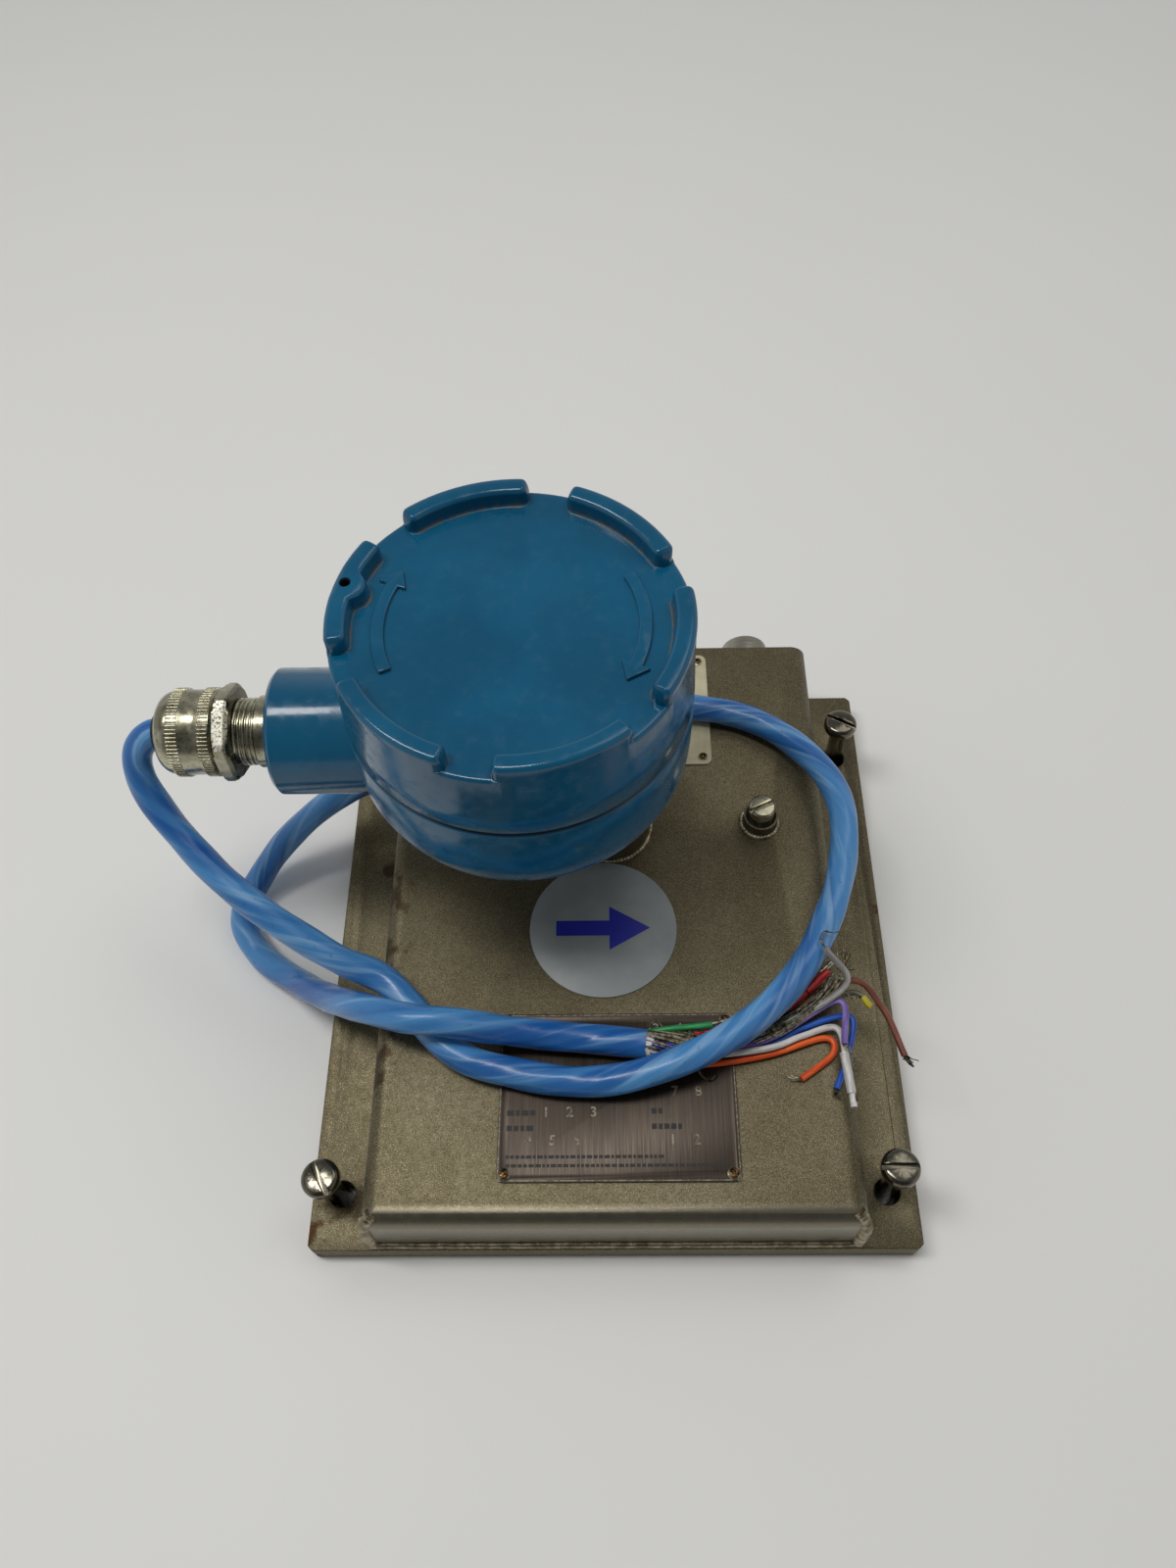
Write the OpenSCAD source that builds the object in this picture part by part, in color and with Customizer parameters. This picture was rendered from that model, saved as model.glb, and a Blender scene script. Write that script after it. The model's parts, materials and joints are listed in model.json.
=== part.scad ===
// Back-plate mounted Coriolis mass flow sensor with a round screw-cover
// junction box, a cable gland and a cut and stripped nine-wire cable.
// +Z is up from the back face, +Y points to the process fittings.
// The origin is the centre of the back plate's back face.

/* [Back plate] */
// Width of the plate along X
plate_w = 184; // [180:1:190]
// Length of the plate along Y
plate_l = 200; // [198:1:204]
// Thickness of the plate
plate_t = 9.5; // [8:0.5:10]
// Diameter of the four mounting holes
hole_d = 7.8; // [7.4:0.1:8]
// Distance of the hole rows from the middle, along X
hole_x = 83; // [82:0.5:84]
// Place of the front holes along Y
hole_front = -83.5; // [-85:0.5:-82]
// Place of the rear holes along Y
hole_rear = 72.5; // [71:0.5:74]

/* [Case] */
// Outer width of the folded case cover
case_w = 145; // [144:1:147]
// Height of the case above the plate
case_h = 25.5; // [25:0.5:26]
// Front face of the case
case_front = -98; // [-98.5:0.5:-97]
// Rear edge of the case
case_rear = 105; // [104:0.5:106]
// Thickness of the folded sheet
sheet_t = 2; // [1.8:0.1:2.2]
// Outer radius of the folds
fold_r = 6; // [5:0.5:6.5]

/* [Flow tubes] */
// Outer diameter of each flow tube
tube_d = 6.35; // [6:0.05:6.5]
// Wall thickness of each flow tube
tube_wall = 0.7; // [0.5:0.1:1]
// Distance of the tube legs and process fittings from the middle
leg_x = 51.5; // [50:0.5:53]
// Bend radius of the tubes
tube_bend = 26; // [22:1:30]

/* [Junction box] */
// Axis of the round box, along X
box_x = -25; // [-26:0.5:-24]
// Axis of the round box, along Y
box_y = 30.5; // [30:0.5:31]
// Outer radius of the box
box_r = 49; // [48.5:0.1:49.5]
// Lowest face of the box
box_bottom = 75; // [74.5:0.1:75.1]
// Seam between the box and its cover
seam_z = 117; // [116.5:0.5:117.5]
// Flat top face of the cover
cover_top = 142; // [141:0.5:143]
// Height of the wrench lugs above the cover's face
lug_h = 5.5; // [5:0.5:6]
// Number of wrench lugs
lug_count = 6; // [4:1:6]

/* [Cable entry] */
// Outer diameter of the threaded hub
hub_d = 37.4; // [36:0.2:38]
// Height of the hub's axis
hub_z = 94; // [93.5:0.5:94.5]
// End face of the hub, along X
hub_end = -97.3; // [-98:0.1:-97]
// Outer diameter of the cable jacket
cable_d = 9; // [8.8:0.1:9]

/* [Hidden] */

$fn = 96;
eps = 0.01;

steel = "#8a8378";
bright_steel = "#b9b6ae";
zinc = "#a9aaa4";
enamel = "#1f5f85";
black_rubber = "#161616";
jacket_blue = "#3d86c9";
copper = "#b4683a";

case_top = plate_t + case_h;

// Neck between the case and the junction box
neck_x = 0;
neck_d = 26.7;
neck_bore = 21;
neck_top = 84;

// Screw-plug purge fitting
purge_x = 50.2;
purge_y = 31.3;
purge_collar_d = 11.5;
purge_collar_h = 5;
purge_bore_d = 9.8;
plug_head_d = 8.6;
plug_shank_d = 6.4;
plug_underside = case_top + purge_collar_h + 0.9;
plug_top = case_top + purge_collar_h + 6;

// Process fittings
port_z = 22;
port_d = 16.7;
port_end = 115;
port_bore_d = 11.4;
port_depth = 14;
block_front = 64;
block_rear = 103;

// Flow tube levels inside the case
lower_tube_z = 15.6;
upper_tube_z = 27.6;
socket_y = 70;
front_run_y = -86;
pickoff_y = -20;

// Junction box section
box_fillet = 22;
thread_r = 42.5;
thread_clearance = 0.05;
cavity_r = 40;
cavity_floor = 80.5;
thread_floor = 103;
spigot_end = 104;
cover_skirt_top_r = 48.2;
cover_inner_r = 38;
cover_inner_top = 135.5;
seam_chamfer = 0.8;
lug_in_r = 42.4;
lug_out_r = 48.15;
lug_angle = 45;
first_lug = 48.5;
lug_edge_r = 1.2;
seal_lug_angle = 166.2;
oring_r = 45.4;

// Terminal strip, which runs along Y
ways = 9;
pitch = 5.8;
block_x = box_x - 12;
block_l = 56;
block_w = 26;
block_base = 6;
block_h = 12;

// Cable gland lengths along X, measured from the hub
gland_bore_d = 12;
thread_d = 21.4;
relief_d = 19;
hex_af = 25.4;
relief_start = -102.4;
hex_right = -108.7;
hex_left = -113.5;
gland_left = -124;
nut_right = -114;
nut_left = -132;
nut_band_d = 26.8;
nut_waist_d = 25.2;
nut_mouth_d = 12.8;
nut_thread_d = 20.1;

// Name plates and badge
data_plate_size = [70.4, 50.3, 0.8];
data_plate_at = [1.5, -61.2];
approval_size = [71, 47, 0.8];
approval_at = [0, 77.6];
rivet_d = 3.5;
badge_d = 46.9;
badge_at = [-2.5, -7.2];

// Mounting screws that stand loosely in their holes
screw_head_d = 11.4;
screw_head_h = 3.8;
screw_shank_d = 5.6;
screw_l = 28;

// Routes of the cable jacket and of its stripped wires
jacket_route = [
    [-119, 30.5, 94], [-130, 30.5, 94], [-136, 30.2, 93], [-140.5, 27.8, 89],
    [-141.8, 24.5, 83], [-139.5, 19.5, 76.5], [-131, 10, 68.5], [-119, -1, 61.5],
    [-103, -12, 54.5], [-84, -21.8, 47], [-68, -28.4, 42.4], [-48, -48.8, 40.4],
    [-28, -56, 40.4], [-4, -58.8, 41], [19, -54.5, 45.6], [40, -43.5, 46],
    [56, -28, 45], [67.5, -8.5, 44.6], [74.5, 12.5, 45], [75.5, 34, 45],
    [67, 54, 42], [50, 69, 40.4], [26, 75, 40.4], [0, 73, 40.4],
    [-27, 67, 40.4], [-52, 58.5, 40.4], [-75, 50, 39.6], [-95, 43.5, 32.5],
    [-112, 36.5, 19.5], [-124, 26, 8.5], [-129, 12, 4.8], [-121, -2, 4.8],
    [-107, -13, 9], [-92, -25, 24], [-77, -35.5, 42], [-62, -42, 50.3],
    [-46, -44, 50], [-27, -44.2, 42.5], [-9, -45.3, 40.4], [10, -47.3, 40.4]
];
wire_d = 2;
strands_d = 1.6;
// Radius of the circle of wires in the jacket's cut end
wire_ring = 3.3;

// ---------- helpers ----------

// Points of an arc in the XY plane
function arc(cx, cy, r, a0, a1, n = 8) =
    [for (i = [0 : n]) let (a = a0 + (a1 - a0) * i / n) [cx + r * cos(a), cy + r * sin(a)]];

function unit(v) = v / norm(v);

// Direction of a route at one of its points
function heading(p, i) =
    unit(p[min(i + 1, len(p) - 1)] - p[max(i - 1, 0)]);

// Side vectors carried along a route without twist
function carried(p, side, i = 0, found = []) =
    i == len(p) ? found :
    let (t = heading(p, i), s = unit(side - (side * t) * t))
    carried(p, s, i + 1, concat(found, [s]));

// Round tube swept along a route as one closed polyhedron
module swept(p, d, sides) {
    side = carried(p, cross(heading(p, 0), [0, 0, 1]));
    points = [
        for (i = [0 : len(p) - 1], k = [0 : sides - 1])
        let (t = heading(p, i), s = side[i], u = cross(t, s), a = 360 * k / sides)
        p[i] + d / 2 * (cos(a) * s + sin(a) * u)
    ];
    walls = [
        for (i = [0 : len(p) - 2], k = [0 : sides - 1])
        let (a = i * sides + k, b = i * sides + (k + 1) % sides)
        each [[a, a + sides, b + sides], [a, b + sides, b]]
    ];
    last = (len(p) - 1) * sides;
    start = [for (k = [0 : sides - 1]) k];
    finish = [for (k = [sides - 1 : -1 : 0]) last + k];
    polyhedron(points, concat([start], walls, [finish]), convexity = 6);
}

// Bar along Y whose two long top edges are rounded
module round_topped_bar(w, h, y0, y1, r) {
    l = y1 - y0;
    translate([-w / 2 + r, y0, 0]) cube([w - 2 * r, l, h]);
    translate([-w / 2, y0, 0]) cube([w, l, h - r]);
    for (side = [-1, 1])
        translate([side * (w / 2 - r), y0, h - r]) rotate([-90, 0, 0]) cylinder(r = r, h = l);
}

// Bar along Y whose front top edge is rounded, as wide as asked
module round_fronted_bar(w, h, y0, y1, r) {
    translate([-w / 2, y0 + r, 0]) cube([w, y1 - y0 - r, h]);
    translate([-w / 2, y0, 0]) cube([w, y1 - y0, h - r]);
    translate([-w / 2, y0 + r, h - r]) rotate([0, 90, 0]) cylinder(r = r, h = w);
}

// Form of the folded sheet: both kinds of fold meet in mitred corners
module fold_form(w, h, y0, y1, r) {
    intersection() {
        round_topped_bar(w, h, y0, y1, r);
        round_fronted_bar(w + 2, h, y0, y1, r);
    }
}

// Flat plate with rounded corners, drilled for its rivets
module sheet_plate(size, at, z, corner_r, rivet_inset, drill_d) {
    translate([at[0], at[1], z]) difference() {
        union() {
            translate([-size[0] / 2 + corner_r, -size[1] / 2, 0])
                cube([size[0] - 2 * corner_r, size[1], size[2]]);
            translate([-size[0] / 2, -size[1] / 2 + corner_r, 0])
                cube([size[0], size[1] - 2 * corner_r, size[2]]);
            for (sx = [-1, 1], sy = [-1, 1])
                translate([sx * (size[0] / 2 - corner_r), sy * (size[1] / 2 - corner_r), 0])
                    cylinder(r = corner_r, h = size[2], $fn = 32);
        }
        for (sx = [-1, 1], sy = [-1, 1])
            translate([sx * (size[0] / 2 - rivet_inset), sy * (size[1] / 2 - rivet_inset), -1])
                cylinder(d = drill_d, h = size[2] + 2, $fn = 32);
    }
}

// Four drive rivets in the corners of a plate
module plate_rivets(size, at, z, rivet_inset, shank_d, head_d) {
    for (sx = [-1, 1], sy = [-1, 1])
        translate([
            at[0] + sx * (size[0] / 2 - rivet_inset),
            at[1] + sy * (size[1] / 2 - rivet_inset),
            z
        ]) rotate_extrude($fn = 32)
            polygon([[0, 0], [shank_d / 2, 0], [shank_d / 2, size[2]], [head_d / 2, size[2]],
                [head_d / 2, size[2] + 0.5], [head_d / 2 - 0.5, size[2] + 0.9], [0, size[2] + 1]]);
}

// ---------- plate and case ----------

module back_plate() {
    corner = 1.5;
    hx = plate_w / 2;
    hy = plate_l / 2;
    color(steel) difference() {
        linear_extrude(plate_t)
            polygon([[-hx + corner, -hy], [hx - corner, -hy], [hx, -hy + corner], [hx, hy - corner],
                [hx - corner, hy], [-hx + corner, hy], [-hx, hy - corner], [-hx, -hy + corner]]);
        for (sx = [-1, 1], y = [hole_front, hole_rear])
            translate([sx * hole_x, y, -1]) cylinder(d = hole_d, h = plate_t + 2);
    }
}

module case_cover() {
    color(steel) translate([0, 0, plate_t]) difference() {
        fold_form(case_w, case_h, case_front, case_rear, fold_r);
        translate([0, 0, -eps])
            fold_form(case_w - 2 * sheet_t, case_h - sheet_t + eps, case_front + sheet_t,
                case_rear + 1, fold_r - sheet_t);
        translate([neck_x, box_y, 0]) cylinder(d = neck_d + 0.1, h = case_h + 1);
        translate([purge_x, purge_y, 0]) cylinder(d = purge_bore_d - 2, h = case_h + 1);
    }
}

module manifold() {
    inner_w = case_w - 2 * sheet_t;
    color(bright_steel) difference() {
        translate([0, 0, plate_t])
            round_topped_bar(inner_w, case_h - sheet_t, block_front, block_rear, fold_r - sheet_t);
        for (sx = [-1, 1]) {
            translate([sx * leg_x, block_rear - 4, port_z]) rotate([-90, 0, 0])
                cylinder(d = port_d, h = 10);
            // Flow chamber behind the port, which feeds both tubes
            translate([sx * leg_x, socket_y + 1, port_z]) rotate([-90, 0, 0])
                cylinder(d = 4, h = 40);
            translate([sx * leg_x, socket_y + 3, lower_tube_z - 2])
                cylinder(d = 4, h = upper_tube_z - lower_tube_z + 4);
            for (z = [lower_tube_z, upper_tube_z])
                translate([sx * leg_x, block_front - 1, z]) rotate([-90, 0, 0])
                    cylinder(d = tube_d, h = socket_y - block_front + 1);
            for (z = [lower_tube_z, upper_tube_z])
                translate([sx * leg_x, socket_y - 1, z]) rotate([-90, 0, 0])
                    cylinder(d = 4, h = 5);
        }
    }
}

module process_fitting(x) {
    color(bright_steel) translate([x, 0, port_z]) rotate([-90, 0, 0])
        translate([0, 0, block_rear - 4]) rotate_extrude()
            polygon([[2, 0], [port_d / 2, 0], [port_d / 2, port_end - block_rear + 3],
                [port_d / 2 - 1, port_end - block_rear + 4],
                [port_bore_d / 2, port_end - block_rear + 4],
                [port_bore_d / 2, port_end - block_rear + 4 - port_depth], [2, port_end - block_rear + 4 - port_depth]]);
}

module inlet_fitting() { process_fitting(-leg_x); }

module outlet_fitting() { process_fitting(leg_x); }

// ---------- measuring tubes ----------

module tube_section() {
    difference() {
        circle(d = tube_d, $fn = 48);
        circle(d = tube_d - 2 * tube_wall, $fn = 48);
    }
}

module flow_tube(z) {
    bend_y = front_run_y + tube_bend;
    bend_x = leg_x - tube_bend;
    translate([0, 0, z]) {
        for (sx = [-1, 1])
            translate([sx * leg_x, bend_y, 0]) rotate([-90, 0, 0])
                linear_extrude(socket_y - bend_y) tube_section();
        translate([-bend_x, bend_y, 0]) rotate([0, 0, 180]) rotate_extrude(angle = 90)
            translate([tube_bend, 0]) tube_section();
        translate([bend_x, bend_y, 0]) rotate([0, 0, 270]) rotate_extrude(angle = 90)
            translate([tube_bend, 0]) tube_section();
        translate([-bend_x, front_run_y, 0]) rotate([0, 90, 0])
            linear_extrude(2 * bend_x) tube_section();
    }
}

module lower_flow_tube() { color(bright_steel) flow_tube(lower_tube_z); }

module upper_flow_tube() { color(bright_steel) flow_tube(upper_tube_z); }

// Two flat bars that tie both tubes together near the block
module brace_bars(x) {
    for (y = [38, 50])
        color(steel) difference() {
            translate([x - 7, y, plate_t + 2]) cube([14, 3, case_h - sheet_t - 4]);
            for (z = [lower_tube_z, upper_tube_z])
                translate([x, y - 1, z]) rotate([-90, 0, 0]) cylinder(d = tube_d, h = 5);
        }
}

module inlet_brace_bars() { brace_bars(-leg_x); }

module outlet_brace_bars() { brace_bars(leg_x); }

// Coil on a saddle that sits on the lower tube. The tube runs along Y here.
module coil_on_saddle() {
    color(copper) difference() {
        union() {
            translate([-4, -4, lower_tube_z]) cube([8, 8, 4]);
            translate([0, 0, lower_tube_z + 3.6]) cylinder(d = 12, h = 3.4);
        }
        translate([0, -5, lower_tube_z]) rotate([-90, 0, 0]) cylinder(d = tube_d, h = 10);
        translate([0, 0, lower_tube_z + 4.2]) cylinder(d = 6.6, h = 4);
    }
}

// Magnet under a saddle that hangs from the upper tube. The tube runs along Y here.
module magnet_on_saddle() {
    color(zinc) difference() {
        union() {
            translate([-4, -4, upper_tube_z - 4.2]) cube([8, 8, 4.2]);
            translate([0, 0, upper_tube_z - 6.6]) cylinder(d = 5, h = 3);
        }
        translate([0, -5, upper_tube_z]) rotate([-90, 0, 0]) cylinder(d = tube_d, h = 10);
    }
}

module drive_coil() { translate([0, front_run_y, 0]) rotate([0, 0, 90]) coil_on_saddle(); }

module drive_magnet() { translate([0, front_run_y, 0]) rotate([0, 0, 90]) magnet_on_saddle(); }

module inlet_pickoff_coil() { translate([-leg_x, pickoff_y, 0]) coil_on_saddle(); }

module inlet_pickoff_magnet() { translate([-leg_x, pickoff_y, 0]) magnet_on_saddle(); }

module outlet_pickoff_coil() { translate([leg_x, pickoff_y, 0]) coil_on_saddle(); }

module outlet_pickoff_magnet() { translate([leg_x, pickoff_y, 0]) magnet_on_saddle(); }

// Resistance thermometer strapped to the inlet leg of the lower tube
module temperature_sensor() {
    color(bright_steel) translate([-leg_x, 20, lower_tube_z]) rotate([-90, 0, 0]) difference() {
        union() {
            translate([0, 0, 4]) cylinder(d = tube_d + 1.2, h = 4);
            translate([tube_d / 2 + 1.5, 0, 0]) cylinder(d = 3, h = 12);
        }
        translate([0, 0, -1]) cylinder(d = tube_d, h = 20);
    }
}

// ---------- purge fitting and neck ----------

module purge_boss() {
    weld_r = 1;
    color(steel) translate([purge_x, purge_y, case_top]) rotate_extrude() difference() {
        union() {
            translate([plug_shank_d / 2 + 0.05, 0])
                square([(purge_collar_d - plug_shank_d) / 2 - 0.05, purge_collar_h]);
            translate([purge_collar_d / 2, 0]) intersection() {
                circle(r = weld_r, $fn = 32);
                square(2 * weld_r);
            }
        }
        translate([0, purge_collar_h - 2]) square([purge_bore_d / 2, 3]);
    }
}

// Rubber seal ring between the boss and the plug's head
module purge_seal() {
    color(black_rubber) translate([purge_x, purge_y, case_top + purge_collar_h - 2])
        rotate_extrude() polygon([[plug_shank_d / 2 + 0.05, 0.02], [purge_bore_d / 2 - 0.1, 0.02],
            [purge_bore_d / 2 - 0.1, 1.6], [plug_head_d / 2 - 0.4, 2.86],
            [plug_shank_d / 2 + 0.05, 2.86]]);
}

module purge_plug() {
    slot_w = 1.3;
    color(zinc) translate([purge_x, purge_y, 0]) difference() {
        union() {
            translate([0, 0, case_top + 0.5]) cylinder(d = plug_shank_d, h = 6);
            translate([0, 0, plug_underside]) cylinder(d = plug_head_d, h = plug_top - plug_underside - 0.6);
            translate([0, 0, plug_top - 0.6])
                cylinder(d1 = plug_head_d, d2 = plug_head_d - 1.2, h = 0.6);
        }
        rotate([0, 0, 25]) translate([-10, -slot_w / 2, plug_top - 1.8]) cube([20, slot_w, 3]);
    }
}

module neck() {
    weld_r = 0.9;
    color(steel) translate([neck_x, box_y, 0]) {
        difference() {
            translate([0, 0, case_top - sheet_t]) cylinder(d = neck_d, h = neck_top - case_top + sheet_t);
            translate([0, 0, 1]) cylinder(d = neck_bore, h = neck_top);
        }
        translate([0, 0, case_top]) rotate_extrude() translate([neck_d / 2, 0]) intersection() {
            circle(r = weld_r, $fn = 32);
            square(2 * weld_r);
        }
    }
}

// Potted disc with nine pins that seals the case from the box
module feedthrough() {
    pin_ring = 6;
    color("#3a2f22") translate([neck_x, box_y, 60]) cylinder(d = neck_bore - 0.1, h = 8);
    color("#c9a54c") for (i = [0 : 8])
        translate([neck_x + pin_ring * cos(40 * i), box_y + pin_ring * sin(40 * i), 67])
            cylinder(d = 1.2, h = 7, $fn = 24);
}

// ---------- junction box ----------

module box_outline() {
    fillet = arc(box_r - box_fillet, box_bottom + box_fillet, box_fillet, -90, 0, 16);
    polygon(concat([[0, box_bottom]], fillet,
        [[box_r, seam_z - seam_chamfer], [box_r - seam_chamfer, seam_z], [0, seam_z]]));
}

module box_cavity() {
    floor_r = 8;
    floor_arc = arc(cavity_r - floor_r, cavity_floor + floor_r, floor_r, -90, 0, 8);
    polygon(concat([[0, cavity_floor]], floor_arc,
        [[cavity_r, thread_floor], [thread_r, thread_floor], [thread_r, seam_z + 1], [0, seam_z + 1]]));
}

module jbox_body() {
    boss_d = 36;
    boss_bottom = 69;
    hub_edge = 1.4;
    passage_d = 15;
    hub_x = box_x - hub_end;
    color(enamel) translate([box_x, box_y, 0]) difference() {
        union() {
            difference() {
                union() {
                    rotate_extrude() box_outline();
                    translate([0, 0, hub_z]) rotate([0, -90, 0]) {
                        cylinder(d = hub_d, h = hub_x - hub_edge);
                        translate([0, 0, hub_x - hub_edge])
                            cylinder(d1 = hub_d, d2 = hub_d - 2 * hub_edge, h = hub_edge);
                    }
                }
                rotate_extrude() box_cavity();
            }
            translate([neck_x - box_x, 0, boss_bottom]) cylinder(d = boss_d, h = neck_top - boss_bottom);
        }
        translate([neck_x - box_x, 0, boss_bottom - 1]) cylinder(d = neck_d, h = neck_top);
        translate([0, 0, hub_z]) rotate([0, -90, 0]) cylinder(d = passage_d, h = hub_x + 1);
        translate([-hub_x + 15, 0, hub_z]) rotate([0, -90, 0]) cylinder(d = thread_d, h = 20);
    }
}

module lug_profile() {
    top = cover_top + lug_h;
    outer = arc(lug_out_r - lug_edge_r, top - lug_edge_r, lug_edge_r, 0, 90, 6);
    inner = arc(lug_in_r + 0.5 + lug_edge_r, top - lug_edge_r, lug_edge_r, 90, 180, 6);
    polygon(concat([[lug_in_r, cover_top - 1], [lug_out_r, cover_top - 1]], outer, inner,
        [[lug_in_r, cover_top + 0.6]]));
}

module cover_outline() {
    edge_r = 1;
    edge = arc(cover_skirt_top_r - edge_r, cover_top - edge_r, edge_r, 0, 90, 6);
    polygon(concat(
        [[cover_inner_r, spigot_end], [thread_r - thread_clearance, spigot_end],
            [thread_r - thread_clearance, seam_z], [box_r - seam_chamfer, seam_z],
            [box_r, seam_z + seam_chamfer]],
        edge, [[0, cover_top], [0, cover_inner_top], [cover_inner_r, cover_inner_top]]));
}

module jbox_cover() {
    seal_r = 45;
    color(enamel) translate([box_x, box_y, 0]) difference() {
        union() {
            rotate_extrude() cover_outline();
            for (i = [0 : lug_count - 1])
                rotate([0, 0, first_lug + i * 360 / lug_count - lug_angle / 2])
                    rotate_extrude(angle = lug_angle) lug_profile();
            // Round boss of the lug that takes a seal wire
            rotate([0, 0, seal_lug_angle]) translate([seal_r - 1.4, 0, cover_top - 1])
                cylinder(r = 4, h = lug_h + 1);
        }
        rotate([0, 0, seal_lug_angle]) translate([seal_r, 0, cover_top - 2])
            cylinder(d = 2.6, h = lug_h + 5, $fn = 32);
        // Groove for the seal ring
        translate([0, 0, seam_z - eps]) rotate_extrude()
            translate([oring_r - 1.1, 0]) square([2.2, 1.7]);
    }
}

module cover_oring() {
    color(black_rubber) translate([box_x, box_y, seam_z + 0.9]) rotate_extrude()
        translate([oring_r, 0]) circle(r = 0.75, $fn = 32);
}

// Barrier strip with nine ways on two feet
module terminal_block() {
    ridge_h = 5;
    color("#2b2420") translate([block_x, box_y, cavity_floor]) union() {
        for (sy = [-1, 1]) translate([-8, sy * 20 - 4, 0]) cube([16, 8, block_base]);
        translate([-block_w / 2, -block_l / 2, block_base - 0.5])
            cube([block_w, block_l, block_h - block_base + 0.5]);
        for (i = [0 : ways])
            translate([-block_w / 2, (i - ways / 2) * pitch - 0.6, block_h - 0.5])
                cube([block_w, 1.2, ridge_h]);
        translate([-1, -ways / 2 * pitch, block_h - 0.5]) cube([2, ways * pitch, ridge_h]);
    }
}

module terminal_screws() {
    color(zinc) for (i = [0 : ways - 1], sx = [-1, 1])
        translate([block_x + sx * 7, box_y + (i - (ways - 1) / 2) * pitch, cavity_floor + block_h])
            difference() {
                cylinder(d = 4, h = 1.8, $fn = 32);
                translate([-3, -0.35, 1]) cube([6, 0.7, 2]);
            }
}

module ground_screw() {
    color("#2f8f4f") translate([box_x + 10, box_y - 24, cavity_floor]) difference() {
        union() {
            cylinder(d = 9, h = 1, $fn = 48);
            cylinder(d = 7, h = 4, $fn = 48);
        }
        translate([-5, -0.6, 2.8]) cube([10, 1.2, 2]);
    }
}

// ---------- cable gland ----------

// Places its children on the gland axis, with Z pointing out along -X
module on_gland_axis() {
    translate([0, box_y, hub_z]) rotate([0, -90, 0]) children();
}

module gland_body() {
    bush_seat_d = 16;
    color(zinc) on_gland_axis() difference() {
        union() {
            translate([0, 0, 82.4]) cylinder(d = thread_d, h = -relief_start - 82.4);
            translate([0, 0, -relief_start]) cylinder(d = relief_d, h = relief_start - hex_right);
            translate([0, 0, -hex_right]) rotate([0, 0, 22])
                cylinder(d = hex_af / cos(30), h = hex_right - hex_left, $fn = 6);
            translate([0, 0, -hex_left]) cylinder(d = nut_thread_d - 0.1, h = hex_left - gland_left);
        }
        translate([0, 0, 80]) cylinder(d = gland_bore_d, h = 60);
        translate([0, 0, 115]) cylinder(d = bush_seat_d, h = 20);
    }
}

module gland_bushing() {
    color(black_rubber) on_gland_axis() rotate_extrude()
        polygon([[cable_d / 2, 115.05], [7.95, 115.05], [7.95, 124], [9, 125.2], [9, 126], [5.9, 126],
            [5.9, 132.8], [cable_d / 2 + 0.9, 132.8], [cable_d / 2, 130]]);
}

module gland_washer() {
    color(bright_steel) on_gland_axis() translate([0, 0, 126.1]) difference() {
        cylinder(d = 18.8, h = 0.9);
        translate([0, 0, -1]) cylinder(d = 12.4, h = 3);
    }
}

module gland_nut() {
    nose_r = 5;
    band_r = nut_band_d / 2;
    waist_r = nut_waist_d / 2;
    right = -nut_right;
    left = -nut_left;
    nose = arc(band_r - 1 - nose_r, left - nose_r, nose_r, 0, 90, 8);
    color(zinc) on_gland_axis() rotate_extrude()
        polygon(concat(
            [[nut_thread_d / 2, right], [band_r - 0.6, right], [band_r, right + 0.6],
                [band_r, right + 4.2], [waist_r, right + 4.8], [waist_r, left - 9.4],
                [band_r, left - 8.8], [band_r, left - 5.6]],
            nose,
            [[nut_mouth_d / 2, left], [nut_mouth_d / 2, 127.1], [nut_thread_d / 2, 127.1]]));
}

// ---------- plates, badge and loose screws ----------

module data_plate() {
    color("#8f8b84") sheet_plate(data_plate_size, data_plate_at, case_top, 2, 2.2, 2);
}

module data_plate_rivets() {
    color(bright_steel) plate_rivets(data_plate_size, data_plate_at, case_top, 2.2, 2, rivet_d);
}

module badge_disc() {
    color("#9fa3a4") translate([badge_at[0], badge_at[1], case_top]) cylinder(d = badge_d, h = 0.5);
}

module approval_plate() {
    color("#b7b2a2") sheet_plate(approval_size, approval_at, case_top, 2.5, 3, 1.6);
}

module approval_plate_rivets() {
    color("#77705f") plate_rivets(approval_size, approval_at, case_top, 3, 1.6, 2.8);
}

// Slotted pan-head screw that stands on its tip, leaning towards an angle
module loose_screw(x, y, towards, lean, slot_turn) {
    tip_r = screw_shank_d / 2 - 0.8;
    crown_r = 1.8;
    crown = arc(screw_head_d / 2 - crown_r, screw_l + screw_head_h - crown_r - 0.4, crown_r, 0, 80, 8);
    gap = (hole_d - screw_shank_d) / 2 - 0.25;
    foot = gap - plate_t * tan(lean);
    translate([x + foot * cos(towards), y + foot * sin(towards), 0.25])
        rotate([0, 0, towards]) rotate([0, lean, 0]) rotate([0, 0, slot_turn]) difference() {
            rotate_extrude($fn = 64)
                polygon(concat([[0, 0], [tip_r, 0], [screw_shank_d / 2, 0.8],
                    [screw_shank_d / 2, screw_l], [screw_head_d / 2, screw_l]],
                    crown, [[0, screw_l + screw_head_h]]));
            translate([-10, -0.8, screw_l + screw_head_h - 2]) cube([20, 1.6, 4]);
        }
}

module mounting_screws() {
    color(bright_steel) {
        loose_screw(-hole_x, hole_front, 180, 5, 120);
        loose_screw(hole_x, hole_front, 80, 4, -80);
        loose_screw(hole_x, hole_rear, 100, 2, 50);
        loose_screw(-hole_x, hole_rear, 200, 3, 10);
    }
}

// ---------- cable ----------

module cable_jacket() { color(jacket_blue) swept(jacket_route, cable_d, 12); }

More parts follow.
